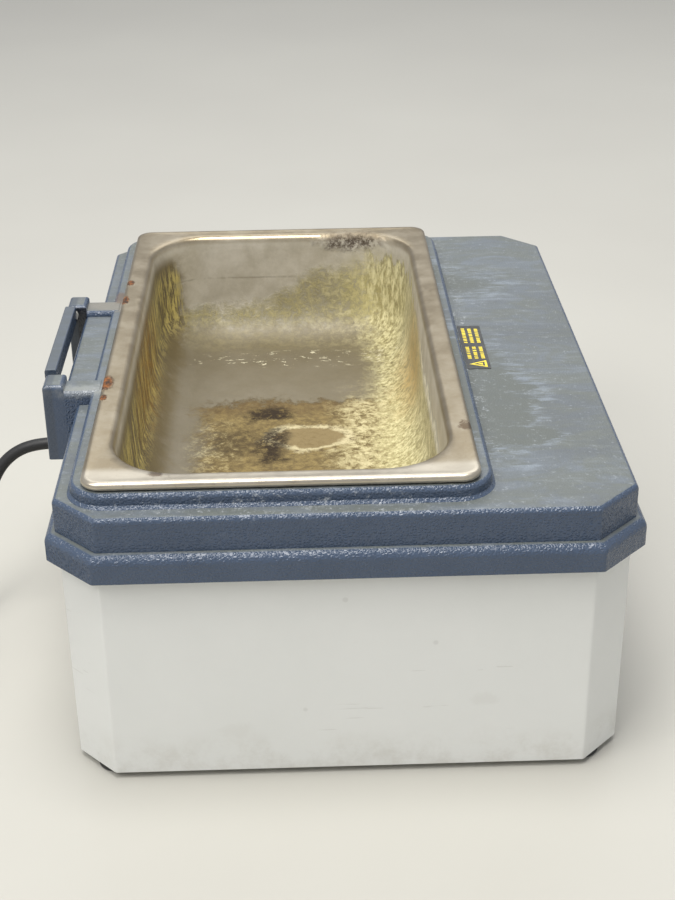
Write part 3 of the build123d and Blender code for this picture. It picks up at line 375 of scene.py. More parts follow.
def pan_steel():
    """Drawn stainless steel, warm and worn on the rim and crusted with scale inside."""
    look = Look("pan_steel", (0.6, 0.58, 0.55), 0.3, metallic=1.0)
    x, y, z = look.axes()
    inside = look.fade(z, 0.1512, 0.1470)
    fine = look.noise(900, detail=3, rough=0.7)
    cloud = look.noise(46, detail=8, rough=0.7, warp=0.15)
    crust = look.noise(230, detail=9, rough=0.8, warp=0.4)
    ragged = look.noise(60, detail=9, rough=0.76, warp=0.3)
    fibres = look.noise(420, detail=9, rough=0.82, stretch=(1, 1, 0.3))
    streaks = look.noise(120, detail=9, rough=0.78, stretch=(1, 1, 0.14), offset=(0.3, 0.1, 0))
    wobble = look.calc("SUBTRACT", ragged, 0.5)
    grit = look.calc("SUBTRACT", crust, 0.5)

    # bare metal: warm and smudged on the rim, filmed over inside
    rim_tone = look.mix(look.fade(cloud, 0.35, 0.7), shade(164, 149, 122), shade(194, 184, 164))
    # painted highlight: the near end of the rim made lighter where it catches the light
    tone_shift = look.fade(y, -0.145, -0.152)
    rim_tone = look.mix(look.times(tone_shift, 0.6), rim_tone, shade(214, 206, 190))
    # painted shade: the side rims made darker and browner, mottled by the crust noise
    side_rim_shade = look.mix(crust, shade(124, 110, 86), shade(160, 146, 120))
    rim_tone = look.mix(look.times(look.invert(tone_shift), 0.45), rim_tone, side_rim_shade)
    mottle = look.times(look.fade(crust, 0.52, 0.66), look.fade(ragged, 0.45, 0.6))
    rim_tone = look.mix(look.times(mottle, 0.35), rim_tone, shade(122, 106, 82))
    film = look.mix(look.fade(cloud, 0.3, 0.7), shade(176, 169, 152), shade(204, 198, 184))
    dull = look.fade(look.add(z, look.times(wobble, 0.02)), 0.104, 0.092)
    film = look.mix(look.times(dull, 0.85), film, look.mix(crust, shade(88, 77, 52), shade(108, 97, 70)))
    colour = look.mix(inside, rim_tone, film)

    # back wall: the old water line steps up to the right, mottled below it
    back_wall = look.fade(y, 0.112, 0.134)
    level = look.blend(look.fade(x, -0.052, 0.002), 0.1075, 0.131)
    depth = look.add(look.calc("SUBTRACT", z, level), look.times(wobble, 0.034), look.times(grit, 0.02))
    below = look.times(look.fade(depth, 0.005, -0.006), look.fade(z, 0.0935, 0.103, 0.25, 1.0))
    back = look.times(back_wall, below, inside, look.fade(crust, 0.3, 0.62, 0.35, 0.9))
    olive = look.mix(look.fade(crust, 0.36, 0.64), shade(116, 108, 64), shade(172, 160, 108))
    colour = look.mix(back, colour, olive)
    pale = look.times(
        back_wall, look.fade(x, -0.03, 0.02), look.fade(look.add(crust, look.times(ragged, 0.5)), 0.72, 0.86),
    )
    colour = look.mix(look.times(pale, below, 0.7), colour, shade(204, 196, 160))
    far_right = look.patch((30, 147, 117), (20, 16, 20), ragged=1.2, edge=0.8, grain=crust)
    colour = look.mix(look.times(far_right, look.fade(crust, 0.4, 0.6)), colour, shade(204, 194, 132))
    lines = look.times(
        look.fade(look.calc("ABSOLUTE", look.add(z, -0.1262, look.times(wobble, 0.0015))), 0.0009, 0.0002),
        look.fade(ragged, 0.42, 0.6), look.fade(x, 0.02, -0.02),
    )
    colour = look.mix(look.times(lines, back_wall, 0.4), colour, shade(118, 110, 92))

    # floor: ochre near half with a browner fringe, cream to the right
    floor = look.fade(z, 0.1, 0.092)
    reach_y = look.add(y, look.times(wobble, 0.06), look.times(grit, 0.02))
    stained = look.times(
        floor, look.fade(reach_y, 0.054, 0.044),
        look.fade(look.add(x, look.times(wobble, 0.05)), -0.084, -0.064),
    )
    ochre = look.mix(look.fade(crust, 0.36, 0.64), shade(92, 74, 36), shade(146, 126, 74))
    fringe = look.times(stained, look.fade(reach_y, 0.026, 0.046))
    colour = look.mix(look.times(stained, 0.9), colour, ochre)
    colour = look.mix(look.times(fringe, 0.45), colour, shade(88, 64, 32))
    cream = look.mix(look.fade(fibres, 0.4, 0.6), shade(146, 134, 84), shade(222, 214, 166))
    floor_cream = look.patch((28, -4, 90), (28, 62, 18), ragged=1.0, edge=0.45, grain=ragged)
    speckled = look.mix(look.fade(crust, 0.4, 0.6), shade(158, 144, 96), shade(216, 206, 162))
    floor_scale = look.times(floor_cream, look.fade(crust, 0.36, 0.56))
    colour = look.mix(look.times(floor_scale, 0.85), colour, speckled)

    pale_left = look.patch((-67, -10, 90), (11, 30, 16), ragged=1.3, edge=0.6, grain=ragged)
    colour = look.mix(look.times(pale_left, look.fade(crust, 0.48, 0.62), 0.4), colour, speckled)

    # side walls: fibrous streaks, flaky where the scale ends near the mouth
    right_field = look.add(x, look.times(wobble, 0.04))
    right_wall = look.times(look.fade(right_field, 0.016, 0.034), inside)
    top_edge = look.add(
        look.blend(look.fade(y, -0.02, 0.06), 0.130, 0.139),
        look.times(look.calc("SUBTRACT", streaks, 0.5), 0.05),
    )
    under_edge = look.fade(look.calc("SUBTRACT", z, top_edge), 0.0012, -0.0012)
    wall_scale = look.times(right_wall, under_edge, look.fade(fibres, 0.3, 0.48, 0.4, 1.0))
    colour = look.mix(look.times(wall_scale, 0.9), colour, cream)
    flakes = look.times(
        right_wall, under_edge, look.fade(look.calc("SUBTRACT", z, top_edge), -0.009, -0.002),
        look.fade(y, 0.05, 0.0), look.fade(streaks, 0.4, 0.47),
    )
    colour = look.mix(look.times(flakes, 0.95), colour, shade(240, 234, 212))
    left_wall = look.times(look.fade(look.add(x, look.times(wobble, 0.02)), -0.086, -0.096), inside)
    shadowed = look.times(left_wall, look.fade(z, 0.147, 0.138), 0.88)
    colour = look.mix(shadowed, colour, look.mix(streaks, shade(84, 70, 42), shade(124, 110, 74)))
    threads = look.noise(420, detail=8, rough=0.75, stretch=(1, 1, 0.1))
    left_scale = look.times(left_wall, look.fade(threads, 0.46, 0.52), look.fade(streaks, 0.4, 0.5),
                            look.fade(z, 0.142, 0.128), look.fade(z, 0.094, 0.106))
    colour = look.mix(look.times(left_scale, 0.9), colour, shade(212, 194, 118))
    amber_zone = look.most(
        look.times(
            look.patch((46, 50, 110), (12, 34, 22), ragged=1.4, edge=0.9, grain=streaks),
            look.fade(fibres, 0.36, 0.6),
        ),
        look.times(
            look.patch((-101, 26, 122), (10, 56, 20), ragged=1.1, edge=0.6, grain=streaks),
            look.fade(fibres, 0.4, 0.56),
        ),
    )
    colour = look.mix(look.times(amber_zone, 0.66), colour, shade(178, 132, 40))

    # cream-outlined patch, burnt spots and loose flakes on the floor
    ring = look.patch((-15, 3, 89), (23, 16, 14), ragged=1.0, edge=0.2, grain=ragged)
    hole = look.patch((-15, 3, 89), (18, 12, 14), ragged=0.7, edge=0.12, grain=ragged)
    colour = look.mix(look.times(ring, look.fade(crust, 0.34, 0.5), 0.9), colour, shade(206, 194, 154))
    colour = look.mix(look.times(hole, 0.92), colour, look.mix(crust, shade(112, 94, 56), shade(140, 120, 78)))
    burnt = look.most(
        look.patch((-36, 33, 89), (11, 9, 14), ragged=1.9, edge=0.5, grain=ragged),
        look.patch((-35, -8, 89), (8, 20, 14), ragged=1.9, edge=0.5, grain=ragged),
        look.times(look.patch((-54, 1, 89), (13, 15, 14), ragged=1.8, edge=0.7, grain=ragged), 0.5),
    )
    colour = look.mix(look.times(burnt, look.fade(crust, 0.7, 0.5), 0.97), colour, shade(44, 32, 18))
    soot = look.patch((14, 149, 147), (19, 9, 4.5), ragged=1.8, edge=0.6, grain=ragged)
    colour = look.mix(look.times(soot, look.fade(crust, 0.6, 0.42), 0.9), colour, shade(58, 40, 22))
    loose = look.fade(look.reach((-0.018, 0.109, 0.089), (0.085, 0.015, 0.02)), 1.0, 0.5)
    chips = look.fade(look.noise(260, detail=4, rough=0.7, stretch=(0.6, 1, 1)), 0.585, 0.63)
    flecks = look.times(loose, chips)
    colour = look.mix(flecks, colour, shade(214, 206, 176))

    # rust where the rim was chipped, and pits
    rust = look.most(
        look.patch((-114.5, -58, 152), (3.2, 8, 6), ragged=1.0, edge=0.25, grain=crust),
        look.patch((-115, 50, 152), (2.4, 6, 6), ragged=1.0, edge=0.25, grain=crust),
        look.patch((-114, 76, 152), (2.0, 4, 6), ragged=1.0, edge=0.25, grain=crust),
        look.patch((-114.4, -75, 152), (1.8, 3, 6), ragged=1.0, edge=0.25, grain=crust),
    )
    rusty = look.mix(look.fade(crust, 0.42, 0.6), shade(44, 24, 10), shade(146, 84, 24))
    colour = look.mix(look.times(rust, 0.97), colour, rusty)
    pits = look.most(
        look.patch((57.5, -113.6, 152), (3.4, 4.4, 6), ragged=1.8, edge=0.3, grain=crust),
        look.patch((-83.5, -153, 152), (3, 3, 6), ragged=1.8, edge=0.3, grain=crust),
    )
    colour = look.mix(look.times(pits, 0.75), colour, shade(92, 70, 46))

    covered = look.most(
        back, stained, wall_scale, left_scale, far_right, floor_scale, amber_zone, ring, burnt, soot, flecks,
        rust, flakes,
    )
    covered = look.calc("MINIMUM", covered, 1.0)
    rim_rough = look.fade(cloud, 0.3, 0.7, 0.27, 0.42)
    charred = look.most(burnt, soot)
    roughness = look.blend(covered, look.blend(inside, rim_rough, 0.46), look.blend(charred, 0.75, 0.97))
    metallic = look.blend(covered, look.blend(inside, 1.0, look.blend(dull, 0.3, 0.22)), 0.05)
    relief = look.add(look.times(crust, 0.8), look.times(fibres, 0.6), look.times(flakes, 0.5))
    height = look.times(covered, relief)
    crusted = look.bump(height, 0.0008, 0.75)
    brushed = look.noise(500, detail=4, stretch=(0.08, 1, 1))
    scratched = look.bump(look.add(look.times(fine, 0.5), brushed), 0.00003, 0.5, crusted)
    return look.paint(colour=colour, roughness=roughness, metallic=metallic, normal=scratched)


def housing_paint():
    """Light grey powder coat with faint orange peel, scuffs and a few scratches."""
    look = Look("housing_paint", (0.6, 0.6, 0.58), 0.42)
    z = look.axes()[2]
    cloud = look.noise(14, detail=6, rough=0.6)
    peel = look.noise(520, detail=2, rough=0.5)
    colour = look.mix(cloud, shade(219, 220, 215), shade(229, 229, 225))
    grime = look.times(look.fade(z, 0.03, 0.004), look.fade(look.noise(60, detail=8, rough=0.7), 0.4, 0.75))
    colour = look.mix(look.times(grime, 0.35), colour, shade(168, 160, 144))
    # painted shade: a faint darker band at the top of the housing, under the cover's skirt
    under = look.fade(z, 0.104, 0.1115)
    colour = look.mix(look.times(under, 0.25), colour, shade(172, 170, 164))
    thin = look.fade(look.noise(36, detail=2, stretch=(1, 1, 14), turn=(0, 0.5, 0.3)), 0.716, 0.724)
    long = look.fade(look.noise(18, detail=2, stretch=(1, 1, 26), turn=(0, -0.25, 0.1)), 0.71, 0.716)
    scratch = look.times(look.most(thin, long), look.fade(look.noise(22, detail=3), 0.52, 0.6))
    colour = look.mix(look.times(scratch, 0.2), colour, shade(158, 152, 142))
    scuff = look.most(
        look.patch((-52, -173, 26), (7, 8, 4), ragged=1.2, edge=0.5, size=160),
        look.patch((62, -173, 40), (5, 8, 3), ragged=1.2, edge=0.5, size=160),
    )
    colour = look.mix(look.times(scuff, 0.1), colour, shade(176, 170, 158))
    specks = look.fade(look.cells(34), 0.06, 0.03)
    colour = look.mix(look.times(specks, 0.14), colour, shade(120, 112, 100))
    roughness = look.fade(look.noise(45, detail=7, rough=0.7), 0.3, 0.7, 0.36, 0.5)
    surface = look.add(peel, look.times(scratch, -1.5))
    return look.paint(colour=colour, roughness=roughness, normal=look.bump(surface, 0.00006, 0.6))


# ---------------------------------------------------------------- materials shared by small pieces
def moulded(name, colour, roughness, grain=700, depth=0.00008, dust=0.12):
    """Moulded plastic or rubber: fine texture, uneven sheen, dust that settles on top."""
    look = Look(name, colour, roughness)
    up = look.axes(look.facing)[2]
    cloud = look.noise(70, detail=6, rough=0.65)
    lighter = tuple(min(c * 1.35 + 0.012, 1) for c in colour)
    body = look.mix(cloud, colour, lighter)
    specks = look.fade(look.noise(300, detail=5, rough=0.7), 0.4, 0.7)
    settled = look.times(look.fade(up, 0.3, 0.95), specks, dust)
    scuffs = look.fade(look.noise(240, detail=3, stretch=(1, 8, 1), turn=(0.4, 0.3, 0.7)), 0.66, 0.72)
    body = look.mix(look.add(settled, look.times(scuffs, 0.05)), body, shade(150, 146, 138))
    sheen = look.fade(cloud, 0.3, 0.7, roughness * 0.85, min(roughness * 1.2, 1))
    height = look.add(look.noise(grain, detail=3), look.times(scuffs, 0.3))
    return look.paint(colour=body, roughness=sheen, normal=look.bump(height, depth, 0.7))


def metal(name, colour, roughness, tarnish, amount=0.35, lines=(1, 1, 0.06)):
    """Drawn, turned or plated metal with fine lines, dull patches and small scratches."""
    look = Look(name, colour, roughness, metallic=1.0)
    cloud = look.noise(120, detail=7, rough=0.7)
    drawn = look.noise(900, detail=3, stretch=lines)
    tone_shift = look.fade(cloud, 0.42, 0.72)
    body = look.mix(look.times(tone_shift, amount), look.mix(drawn, colour, tuple(c * 0.86 for c in colour)), tarnish)
    sheen = look.blend(tone_shift, roughness, min(roughness + 0.22, 1))
    return look.paint(colour=body, roughness=sheen, normal=look.bump(drawn, 0.00003, 0.5))


def lens(name, colour):
    """Tinted glossy lens with a fine cellular texture."""
    look = Look(name, colour, 0.12, specular=0.6, coat=0.4)
    deep = look.mix(look.noise(400, detail=3), colour, tuple(c * 0.6 for c in colour))
    facets = look.cells(1600)
    sheen = look.fade(look.noise(200, detail=4), 0.3, 0.7, 0.1, 0.24)
    return look.paint(colour=deep, roughness=sheen, normal=look.bump(facets, 0.00015, 0.5))


def fibre(name, colour):
    """Matted mineral fibre."""
    look = Look(name, colour, 0.95)
    strands = look.noise(500, detail=6, rough=0.8, warp=2.0)
    body = look.mix(strands, tuple(c * 0.7 for c in colour), colour)
    return look.paint(colour=body, normal=look.bump(strands, 0.0006, 0.9))


def make_materials():
    """Every record slot's material, by slot name."""
    made = {
        "cover_plastic": cover_plastic(),
        "pan_steel": pan_steel(),
        "housing_paint": housing_paint(),
        "zinc_steel": metal("zinc_steel", (0.56, 0.57, 0.58), 0.32, shade(120, 116, 106)),
        "sheet_aluminium": metal("sheet_aluminium", (0.75, 0.75, 0.76), 0.36, shade(150, 148, 142)),
        "plate_aluminium": metal(
            "plate_aluminium", (0.68, 0.68, 0.69), 0.38, shade(150, 148, 142), lines=(1, 0.05, 1),
        ),
        "copper": metal("copper", (0.66, 0.34, 0.2), 0.35, shade(92, 60, 40), amount=0.6),
        "brass": metal("brass", (0.72, 0.54, 0.26), 0.3, shade(110, 86, 48), amount=0.5),
        "foot_rubber": moulded("foot_rubber", (0.018, 0.018, 0.018), 0.75),
        "gasket_rubber": moulded("gasket_rubber", (0.022, 0.023, 0.025), 0.7),
        "silicone": moulded("silicone", (0.42, 0.13, 0.04), 0.5),
        "phenolic": moulded("phenolic", (0.045, 0.028, 0.018), 0.42),
        "fascia_plastic": moulded("fascia_plastic", (0.045, 0.056, 0.074), 0.5, grain=1100, depth=0.0001),
        "knob_plastic": moulded("knob_plastic", (0.014, 0.014, 0.015), 0.34, grain=1500, depth=0.00003),
        "switch_plastic": moulded("switch_plastic", (0.016, 0.016, 0.017), 0.45),
        "rocker_plastic": moulded("rocker_plastic", (0.018, 0.018, 0.019), 0.3, grain=1500, depth=0.00002),
        "terminal_plastic": moulded("terminal_plastic", (0.62, 0.56, 0.42), 0.45),
        "wire_insulation": moulded("wire_insulation", (0.02, 0.02, 0.021), 0.45),
        "button_plastic": moulded("button_plastic", (0.36, 0.02, 0.014), 0.35, grain=1500, depth=0.00002),
        "cord_rubber": moulded(
            "cord_rubber", (0.007, 0.007, 0.0075), 0.56, grain=900, depth=0.00006, dust=0.05,
        ),
        "tie_plastic": moulded("tie_plastic", (0.02, 0.02, 0.022), 0.8, grain=1800, depth=0.0003),
        "nylon": moulded("nylon", (0.55, 0.53, 0.48), 0.4),
        "label_film": moulded("label_film", (0.02, 0.021, 0.02), 0.34, grain=300, depth=0.00002),
        "amber_lens": lens("amber_lens", (0.75, 0.25, 0.02)),
        "red_lens": lens("red_lens", (0.6, 0.02, 0.012)),
        "fibre_wrap": fibre("fibre_wrap", (0.68, 0.64, 0.54)),
    }
    return made


def dress_nodes(materials):
    """Every CAD node takes the material of its slot in the record."""
    for part in frame["record"]["subparts"]:
        mesh = frame["nodes"][part["node"]].data
        mesh.materials.clear()
        mesh.materials.append(materials[part["material_slot"]])


# ---------------------------------------------------------------- small marks
PRINT = 0.04 * MM                             # thickness of printed marks
FASCIA_STEP = 0.8 * MM                        # height of the dial rings over the fascia's face
INLAY_SINK = 0.00001                          # how far the knob inlays start below the rib's top
ROCKER_CENTRE = (0.1295, -0.084, 0.060)
ROCKER_REST = math.radians(9)


def mesh_piece(name, shape, material, body):
    """Turns a bmesh into a piece that rides on a body."""
    mesh = bpy.data.meshes.new(name)
    shape.to_mesh(mesh)
    shape.free()
    mesh.materials.append(material)
    piece = bpy.data.objects.new(name, mesh)
    bpy.context.scene.collection.objects.link(piece)
    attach(piece, body)
    return piece


def add_prism(shape, outline, thickness, place):
    """Thin plate: an outline of (u, v) points, raised by thickness, and put in place by a matrix."""
    low = [shape.verts.new(place @ Vector((u, v, 0))) for u, v in outline]
    high = [shape.verts.new(place @ Vector((u, v, thickness))) for u, v in outline]
    shape.faces.new(list(reversed(low)))
    shape.faces.new(high)
    for i in range(len(outline)):
        j = (i + 1) % len(outline)
        shape.faces.new((low[i], low[j], high[j], high[i]))


def bar_outline(u, v, length, width):
    return [(u, v), (u + length, v), (u + length, v + width), (u, v + width)]


def arc_outline(radius, width, start, end, steps):
    """Closed outline of a circular stroke between two angles."""
    angles = [start + (end - start) * i / steps for i in range(steps + 1)]
    outer = [((radius + width) * math.cos(a), (radius + width) * math.sin(a)) for a in angles]
    inner = [(radius * math.cos(a), radius * math.sin(a)) for a in reversed(angles)]
    return outer + inner


def label_marks(materials):
    """Plain triangle and rows of dashes on the label beside the pan; no lettering."""
    low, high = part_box("caution_label")
    centre = (low + high) / 2
    place = Matrix.Translation((centre.x, centre.y, high.z))
    shape = bmesh.new()
    near, apex, half = -26.5 * MM, -4.6 * MM, 4.6 * MM
    wide = 8.6 * MM
    outer = [(apex, near + wide / 2), (half, near), (half, near + wide)]
    middle = Vector((sum(p[0] for p in outer) / 3, sum(p[1] for p in outer) / 3))
    inner = [tuple(middle + (Vector(p) - middle) * 0.62) for p in outer]
    for i in range(3):
        j = (i + 1) % 3
        add_prism(shape, [outer[i], outer[j], inner[j], inner[i]], PRINT, place)
    add_prism(shape, [tuple(middle + (Vector(p) - middle) * 0.3) for p in outer], PRINT, place)
    row_width, rows, columns = 1.9 * MM, 3, ((-15.5, 1.5), (5.0, 25.5))
    draw = random.Random(7)
    for row in range(rows):
        u = (row - 1) * 3.5 * MM - row_width / 2
        for start, end in columns:
            v = start * MM
            while v < end * MM - 2 * MM:
                length = min(draw.uniform(1.0, 1.9) * MM, end * MM - v)
                add_prism(shape, bar_outline(u, v, row_width, length), PRINT, place)
                v += length + draw.choice((0.5, 0.5, 1.2)) * MM
    mesh_piece("label_marks", shape, materials["label_yellow"], "housing")


FRONT = Matrix(((0, 0, 1, 0), (1, 0, 0, 0), (0, 1, 0, 0), (0, 0, 0, 1)))    # u to +Y, v to +Z, raised to +X
REAR = Matrix(((0, 0, -1, 0), (-1, 0, 0, 0), (0, 1, 0, 0), (0, 0, 0, 1)))   # u to -Y, v to +Z, raised to -X


def face_place(x, y, z, facing=FRONT):
    return Matrix.Translation((x, y, z)) @ facing


def numeral(name, text, size, place, material):
    """A dial number as a thin mesh."""
    curve = bpy.data.curves.new(name, "FONT")
    curve.body = text
    curve.size = size
    curve.align_x, curve.align_y = "CENTER", "CENTER"
    curve.extrude = 0.03 * MM
    piece = bpy.data.objects.new(name, curve)
    bpy.context.scene.collection.objects.link(piece)
    piece.matrix_world = place
    curve.materials.append(material)
    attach(piece, "housing")


def dial_marks(materials):
    """Ticks and numbers round each dial; zero is at the pointer's rest place, and the knob turns clockwise."""
    dials = {"temperature": ("temperature_knob", 26.2, 10, 270.0), "limit": ("limit_knob", 16.6, 6, 240.0)}
    ring_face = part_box("control_fascia")[1].x
    for dial, (knob, radius, count, travel) in dials.items():
        low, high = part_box(knob)
        centre = (low + high) / 2
        shape = bmesh.new()
        steps = count * 5
        for i in range(steps + 1):
            angle = math.radians(90 - travel * i / steps)
            long = i % 5 == 0
            width, length = (0.5, 1.9) if long else (0.28, 1.0)
            turn = Matrix.Rotation(angle, 4, "Z")
            outline = [(radius * MM, -width / 2 * MM), ((radius + length) * MM, -width / 2 * MM),
                       ((radius + length) * MM, width / 2 * MM), (radius * MM, width / 2 * MM)]
            add_prism(shape, outline, PRINT, face_place(ring_face, centre.y, centre.z) @ turn)
        mesh_piece(f"{dial}_ticks", shape, materials["pale_print"], "housing")
        for i in range(count + 1):
            angle = math.radians(90 - travel * i / count)
            out = (radius + (5.6 if count == 10 else 6.2)) * MM
            spot = face_place(
                ring_face - FASCIA_STEP, centre.y + out * math.cos(angle), centre.z + out * math.sin(angle),
            )
            numeral(f"{dial}_number_{i}", str(i * 10), 3.6 * MM, spot, materials["pale_print"])


def fascia_marks(materials):
    """Thin frame line on the fascia and short marks by the lamps."""
    low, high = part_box("control_fascia")
    face = high.x - FASCIA_STEP
    shape = bmesh.new()
    place = face_place(face, 0, (low.z + high.z) / 2)
    half_w, half_h, line = (high.y - low.y) / 2 - 4 * MM, (high.z - low.z) / 2 - 4 * MM, 0.5 * MM
    corner = 11 * MM
    for side in (-1, 1):
        add_prism(shape, bar_outline(-half_w + corner, side * half_h - line / 2, 2 * (half_w - corner), line),
                  PRINT, place)
        add_prism(shape, bar_outline(side * half_w - line / 2, -half_h + corner, line, 2 * (half_h - corner)),
                  PRINT, place)
    for node in ("heater_lamp", "limit_lamp"):
        lamp_low, lamp_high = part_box(node)
        centre = (lamp_low + lamp_high) / 2
        add_prism(shape, bar_outline(-3.5 * MM, 9 * MM, 7 * MM, 0.9 * MM), PRINT,
                  face_place(face, centre.y, centre.z))
    mesh_piece("fascia_lines", shape, materials["pale_print"], "housing")


def rocker_marks(materials):
    """Plain stroke and ring on the rocker's two halves."""
    shape = bmesh.new()
    turn = Matrix.Translation(ROCKER_CENTRE) @ Matrix.Rotation(ROCKER_REST, 4, "Y")
    for level, kind in ((5.6, "stroke"), (-5.6, "ring")):
        lift = 2.4 + 0.8 * abs(level) / 10.6 + 0.02
        lean = Matrix.Rotation(math.atan2(0.8, 10.6) * (-1 if level > 0 else 1), 4, "Y")
        place = turn @ Matrix.Translation((lift * MM, 0, level * MM)) @ lean @ FRONT
        if kind == "stroke":
            add_prism(shape, bar_outline(-0.35 * MM, -1.9 * MM, 0.7 * MM, 3.8 * MM), PRINT, place)
        else:
            add_prism(shape, arc_outline(1.4 * MM, 0.5 * MM, 0, 2 * math.pi * 0.995, 32), PRINT, place)
    mesh_piece("rocker_marks", shape, materials["pale_print"], "rocker")


def knob_marks(materials):
    """White inlay along each knob's pointer rib."""
    knobs = (("temperature_knob", "temperature_dial", 19.0), ("limit_knob", "limit_dial", 11.0))
    for node, body, radius in knobs:
        low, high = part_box(node)
        centre = (low + high) / 2
        shape = bmesh.new()
        start, end = radius * 0.26 * MM, radius * 0.8 * MM
        add_prism(shape, bar_outline(-0.45 * MM, start, 0.9 * MM, end - start), 0.02 * MM,
                  face_place(high.x - INLAY_SINK, centre.y, centre.z))
        mesh_piece(f"{node}_inlay", shape, materials["pale_print"], body)


def plate_marks(materials):
    """Engraved frame and blank fields on the rating plate; nothing is written on it."""
    low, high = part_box("rating_plate")
    shape = bmesh.new()
    place = face_place(low.x, (low.y + high.y) / 2, (low.z + high.z) / 2, REAR)
    half_w, half_h, line = 24 * MM, 16 * MM, 0.4 * MM
    for level in (-1, -0.4, 0.2, 1):
        add_prism(shape, bar_outline(-half_w, level * half_h, 2 * half_w, line), 0.03 * MM, place)
    for side in (-1, 0.1, 1):
        add_prism(shape, bar_outline(side * half_w, -half_h, line, 2 * half_h), 0.03 * MM, place)
    mesh_piece("plate_lines", shape, materials["dark_print"], "housing")


# ---------------------------------------------------------------- the pan
PAN_X = -28.5                                 # millimetres, like the section's numbers
PAN_SLOPE = math.tan(math.radians(3.1))


def corner_ring(shape, half_x, half_y, radius, height, steps=14):
    """Ring of vertices round a rectangle with rounded corners, centred on the pan."""
    ring = []
    for quarter, (sx, sy) in enumerate(((1, 1), (-1, 1), (-1, -1), (1, -1))):
        for step in range(steps + 1):
            angle = math.pi / 2 * (quarter + step / steps)
            place = (
                PAN_X + sx * (half_x - radius) + radius * math.cos(angle),
                sy * (half_y - radius) + radius * math.sin(angle),
                height,
            )
            ring.append(shape.verts.new([c * MM for c in place]))
    return ring


def pan_section():
    """Half-width inset from the rim's edge, corner radius and height, from the outer floor to the inner one."""
    rows = []

    def wall(offset, floor, heights):
        for height in heights:
            rise = height - floor
            inset = 12 - offset + (147 - height) * PAN_SLOPE
            bend = 20 + offset
            if rise < bend:
                inset += bend - math.sqrt(max(bend ** 2 - (bend - rise) ** 2, 0))
            rows.append((inset, max(32 + offset - (147 - height) * 0.05, 4), height))

    climb = [0, 0.3, 1.2, 2.8, 5, 8, 12, 17, 24, 34, 44, 54, 60]
    wall(0.8, 87.7, [87.7 + c for c in climb])
    rows += [(9.2, 34, 150.4), (6.4, 20, 151.1), (3.4, 5.8, 151.1), (2.2, 6.8, 150.4), (2.2, 6.8, 149.1)]
    rows += [(1.8, 7.2, 148.7), (1.0, 8.0, 148.85), (0.35, 8.65, 149.4), (0.0, 9.0, 150.2), (0.0, 9.0, 150.9)]
    rows += [(0.3, 8.7, 151.8), (0.9, 8.1, 152.4), (1.9, 7.1, 152.7), (3.0, 7.2, 152.6), (4.4, 12, 152.42)]
    rows += [(6.0, 21, 152.26), (7.6, 30, 152.22), (8.8, 35, 152.1), (9.9, 34, 151.7), (10.9, 33.2, 150.9)]
    rows += [(11.6, 32.5, 149.8), (11.9, 32.1, 148.5)]
    wall(0.0, 88.5, [88.5 + c for c in reversed(climb[:-1])])
    return rows


def pan_mesh(material):
    """The pan as one closed skin: rolled rim, dished flange, soft inner roll and tapering walls."""
    shape = bmesh.new()
    rings = [
        corner_ring(shape, 88 - inset, 162.5 - inset, radius, height) for inset, radius, height in pan_section()
    ]
    for lower, upper in zip(rings, rings[1:]):
        for i in range(len(lower)):
            j = (i + 1) % len(lower)
            shape.faces.new((lower[i], lower[j], upper[j], upper[i]))
    shape.faces.new(list(reversed(rings[0])))
    shape.faces.new(rings[-1])
    bmesh.ops.recalc_face_normals(shape, faces=shape.faces)
    for face in shape.faces:
        face.smooth = len(face.verts) == 4
    pan = mesh_piece("pan_skin", shape, material, "housing")
    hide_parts("bath_pan")


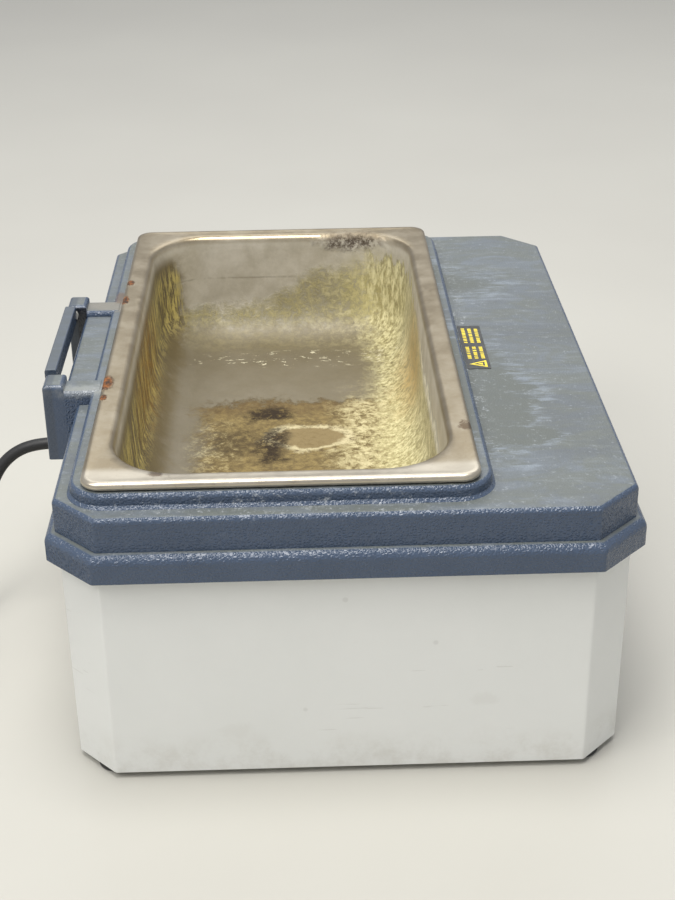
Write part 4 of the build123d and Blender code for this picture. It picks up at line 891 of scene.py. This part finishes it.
# ---------------------------------------------------------------- floor and light
def make_floor():
    """Plain pale bench top, wide enough to fill every view."""
    half = 12.0
    shape = bmesh.new()
    corners = [shape.verts.new((sx * half, sy * half, 0)) for sx, sy in ((-1, -1), (1, -1), (1, 1), (-1, 1))]
    shape.faces.new(corners)
    mesh = bpy.data.meshes.new("floor")
    shape.to_mesh(mesh)
    shape.free()
    look = Look("floor", (0.74, 0.72, 0.67), 0.5)
    cloud = look.noise(3, detail=5)
    look.paint(colour=look.mix(cloud, shade(183, 180, 171), shade(192, 190, 181)),
               roughness=look.fade(cloud, 0.3, 0.7, 0.5, 0.6))
    mesh.materials.append(look.material)
    floor = bpy.data.objects.new("floor", mesh)
    bpy.context.scene.collection.objects.link(floor)


def area_light(name, place, target, size, power, colour):
    data = bpy.data.lights.new(name, "AREA")
    data.shape = "RECTANGLE"
    data.size, data.size_y = size
    data.energy = power
    data.color = colour
    light = bpy.data.objects.new(name, data)
    bpy.context.scene.collection.objects.link(light)
    light.location = place
    light.rotation_euler = (Vector(target) - Vector(place)).to_track_quat("-Z", "Y").to_euler()


def make_light():
    """Soft key from the upper left, a stronger ceiling panel, a weak light behind and a pale surround."""
    bpy.context.scene.view_settings.view_transform = "Standard"
    world = bpy.data.worlds.new("surround")
    bpy.context.scene.world = world
    world.use_nodes = True
    sky = world.node_tree.nodes["Background"]
    sky.inputs["Color"].default_value = (0.93, 0.95, 1.0, 1)
    sky.inputs["Strength"].default_value = 0.56
    target = (0, 0, 0.08)
    area_light("key", (-0.9, -0.9, 1.5), target, (1.1, 0.8), 13, (1.0, 0.985, 0.96))
    area_light("ceiling", (-0.1, -0.25, 1.7), target, (0.8, 1.0), 24, (1.0, 0.99, 0.97))
    area_light("back", (0.2, 1.3, 1.4), target, (1.6, 0.8), 8, (0.96, 0.98, 1.0))


# ---------------------------------------------------------------- build
make_camera()
materials = make_materials()
materials["label_yellow"] = moulded("label_yellow", shade(214, 192, 40), 0.4, grain=300, depth=0.00001)
materials["pale_print"] = moulded("pale_print", shade(206, 208, 206), 0.5, grain=600, depth=0.00001, dust=0.05)
materials["dark_print"] = moulded("dark_print", (0.03, 0.03, 0.03), 0.5, grain=600, depth=0.00001)

cord = nurbs_tube("mains_cord", LEAD_ROUTE + coil_route() + TAIL_ROUTE, CORD_D, materials["cord_rubber"])
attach(cord, "housing")
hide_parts("power_cord", "cord_coil", "cord_tail")

dress_nodes(materials)
label_marks(materials)
dial_marks(materials)
fascia_marks(materials)
rocker_marks(materials)
knob_marks(materials)
plate_marks(materials)
pan_mesh(materials["pan_steel"])
make_floor()
make_light()
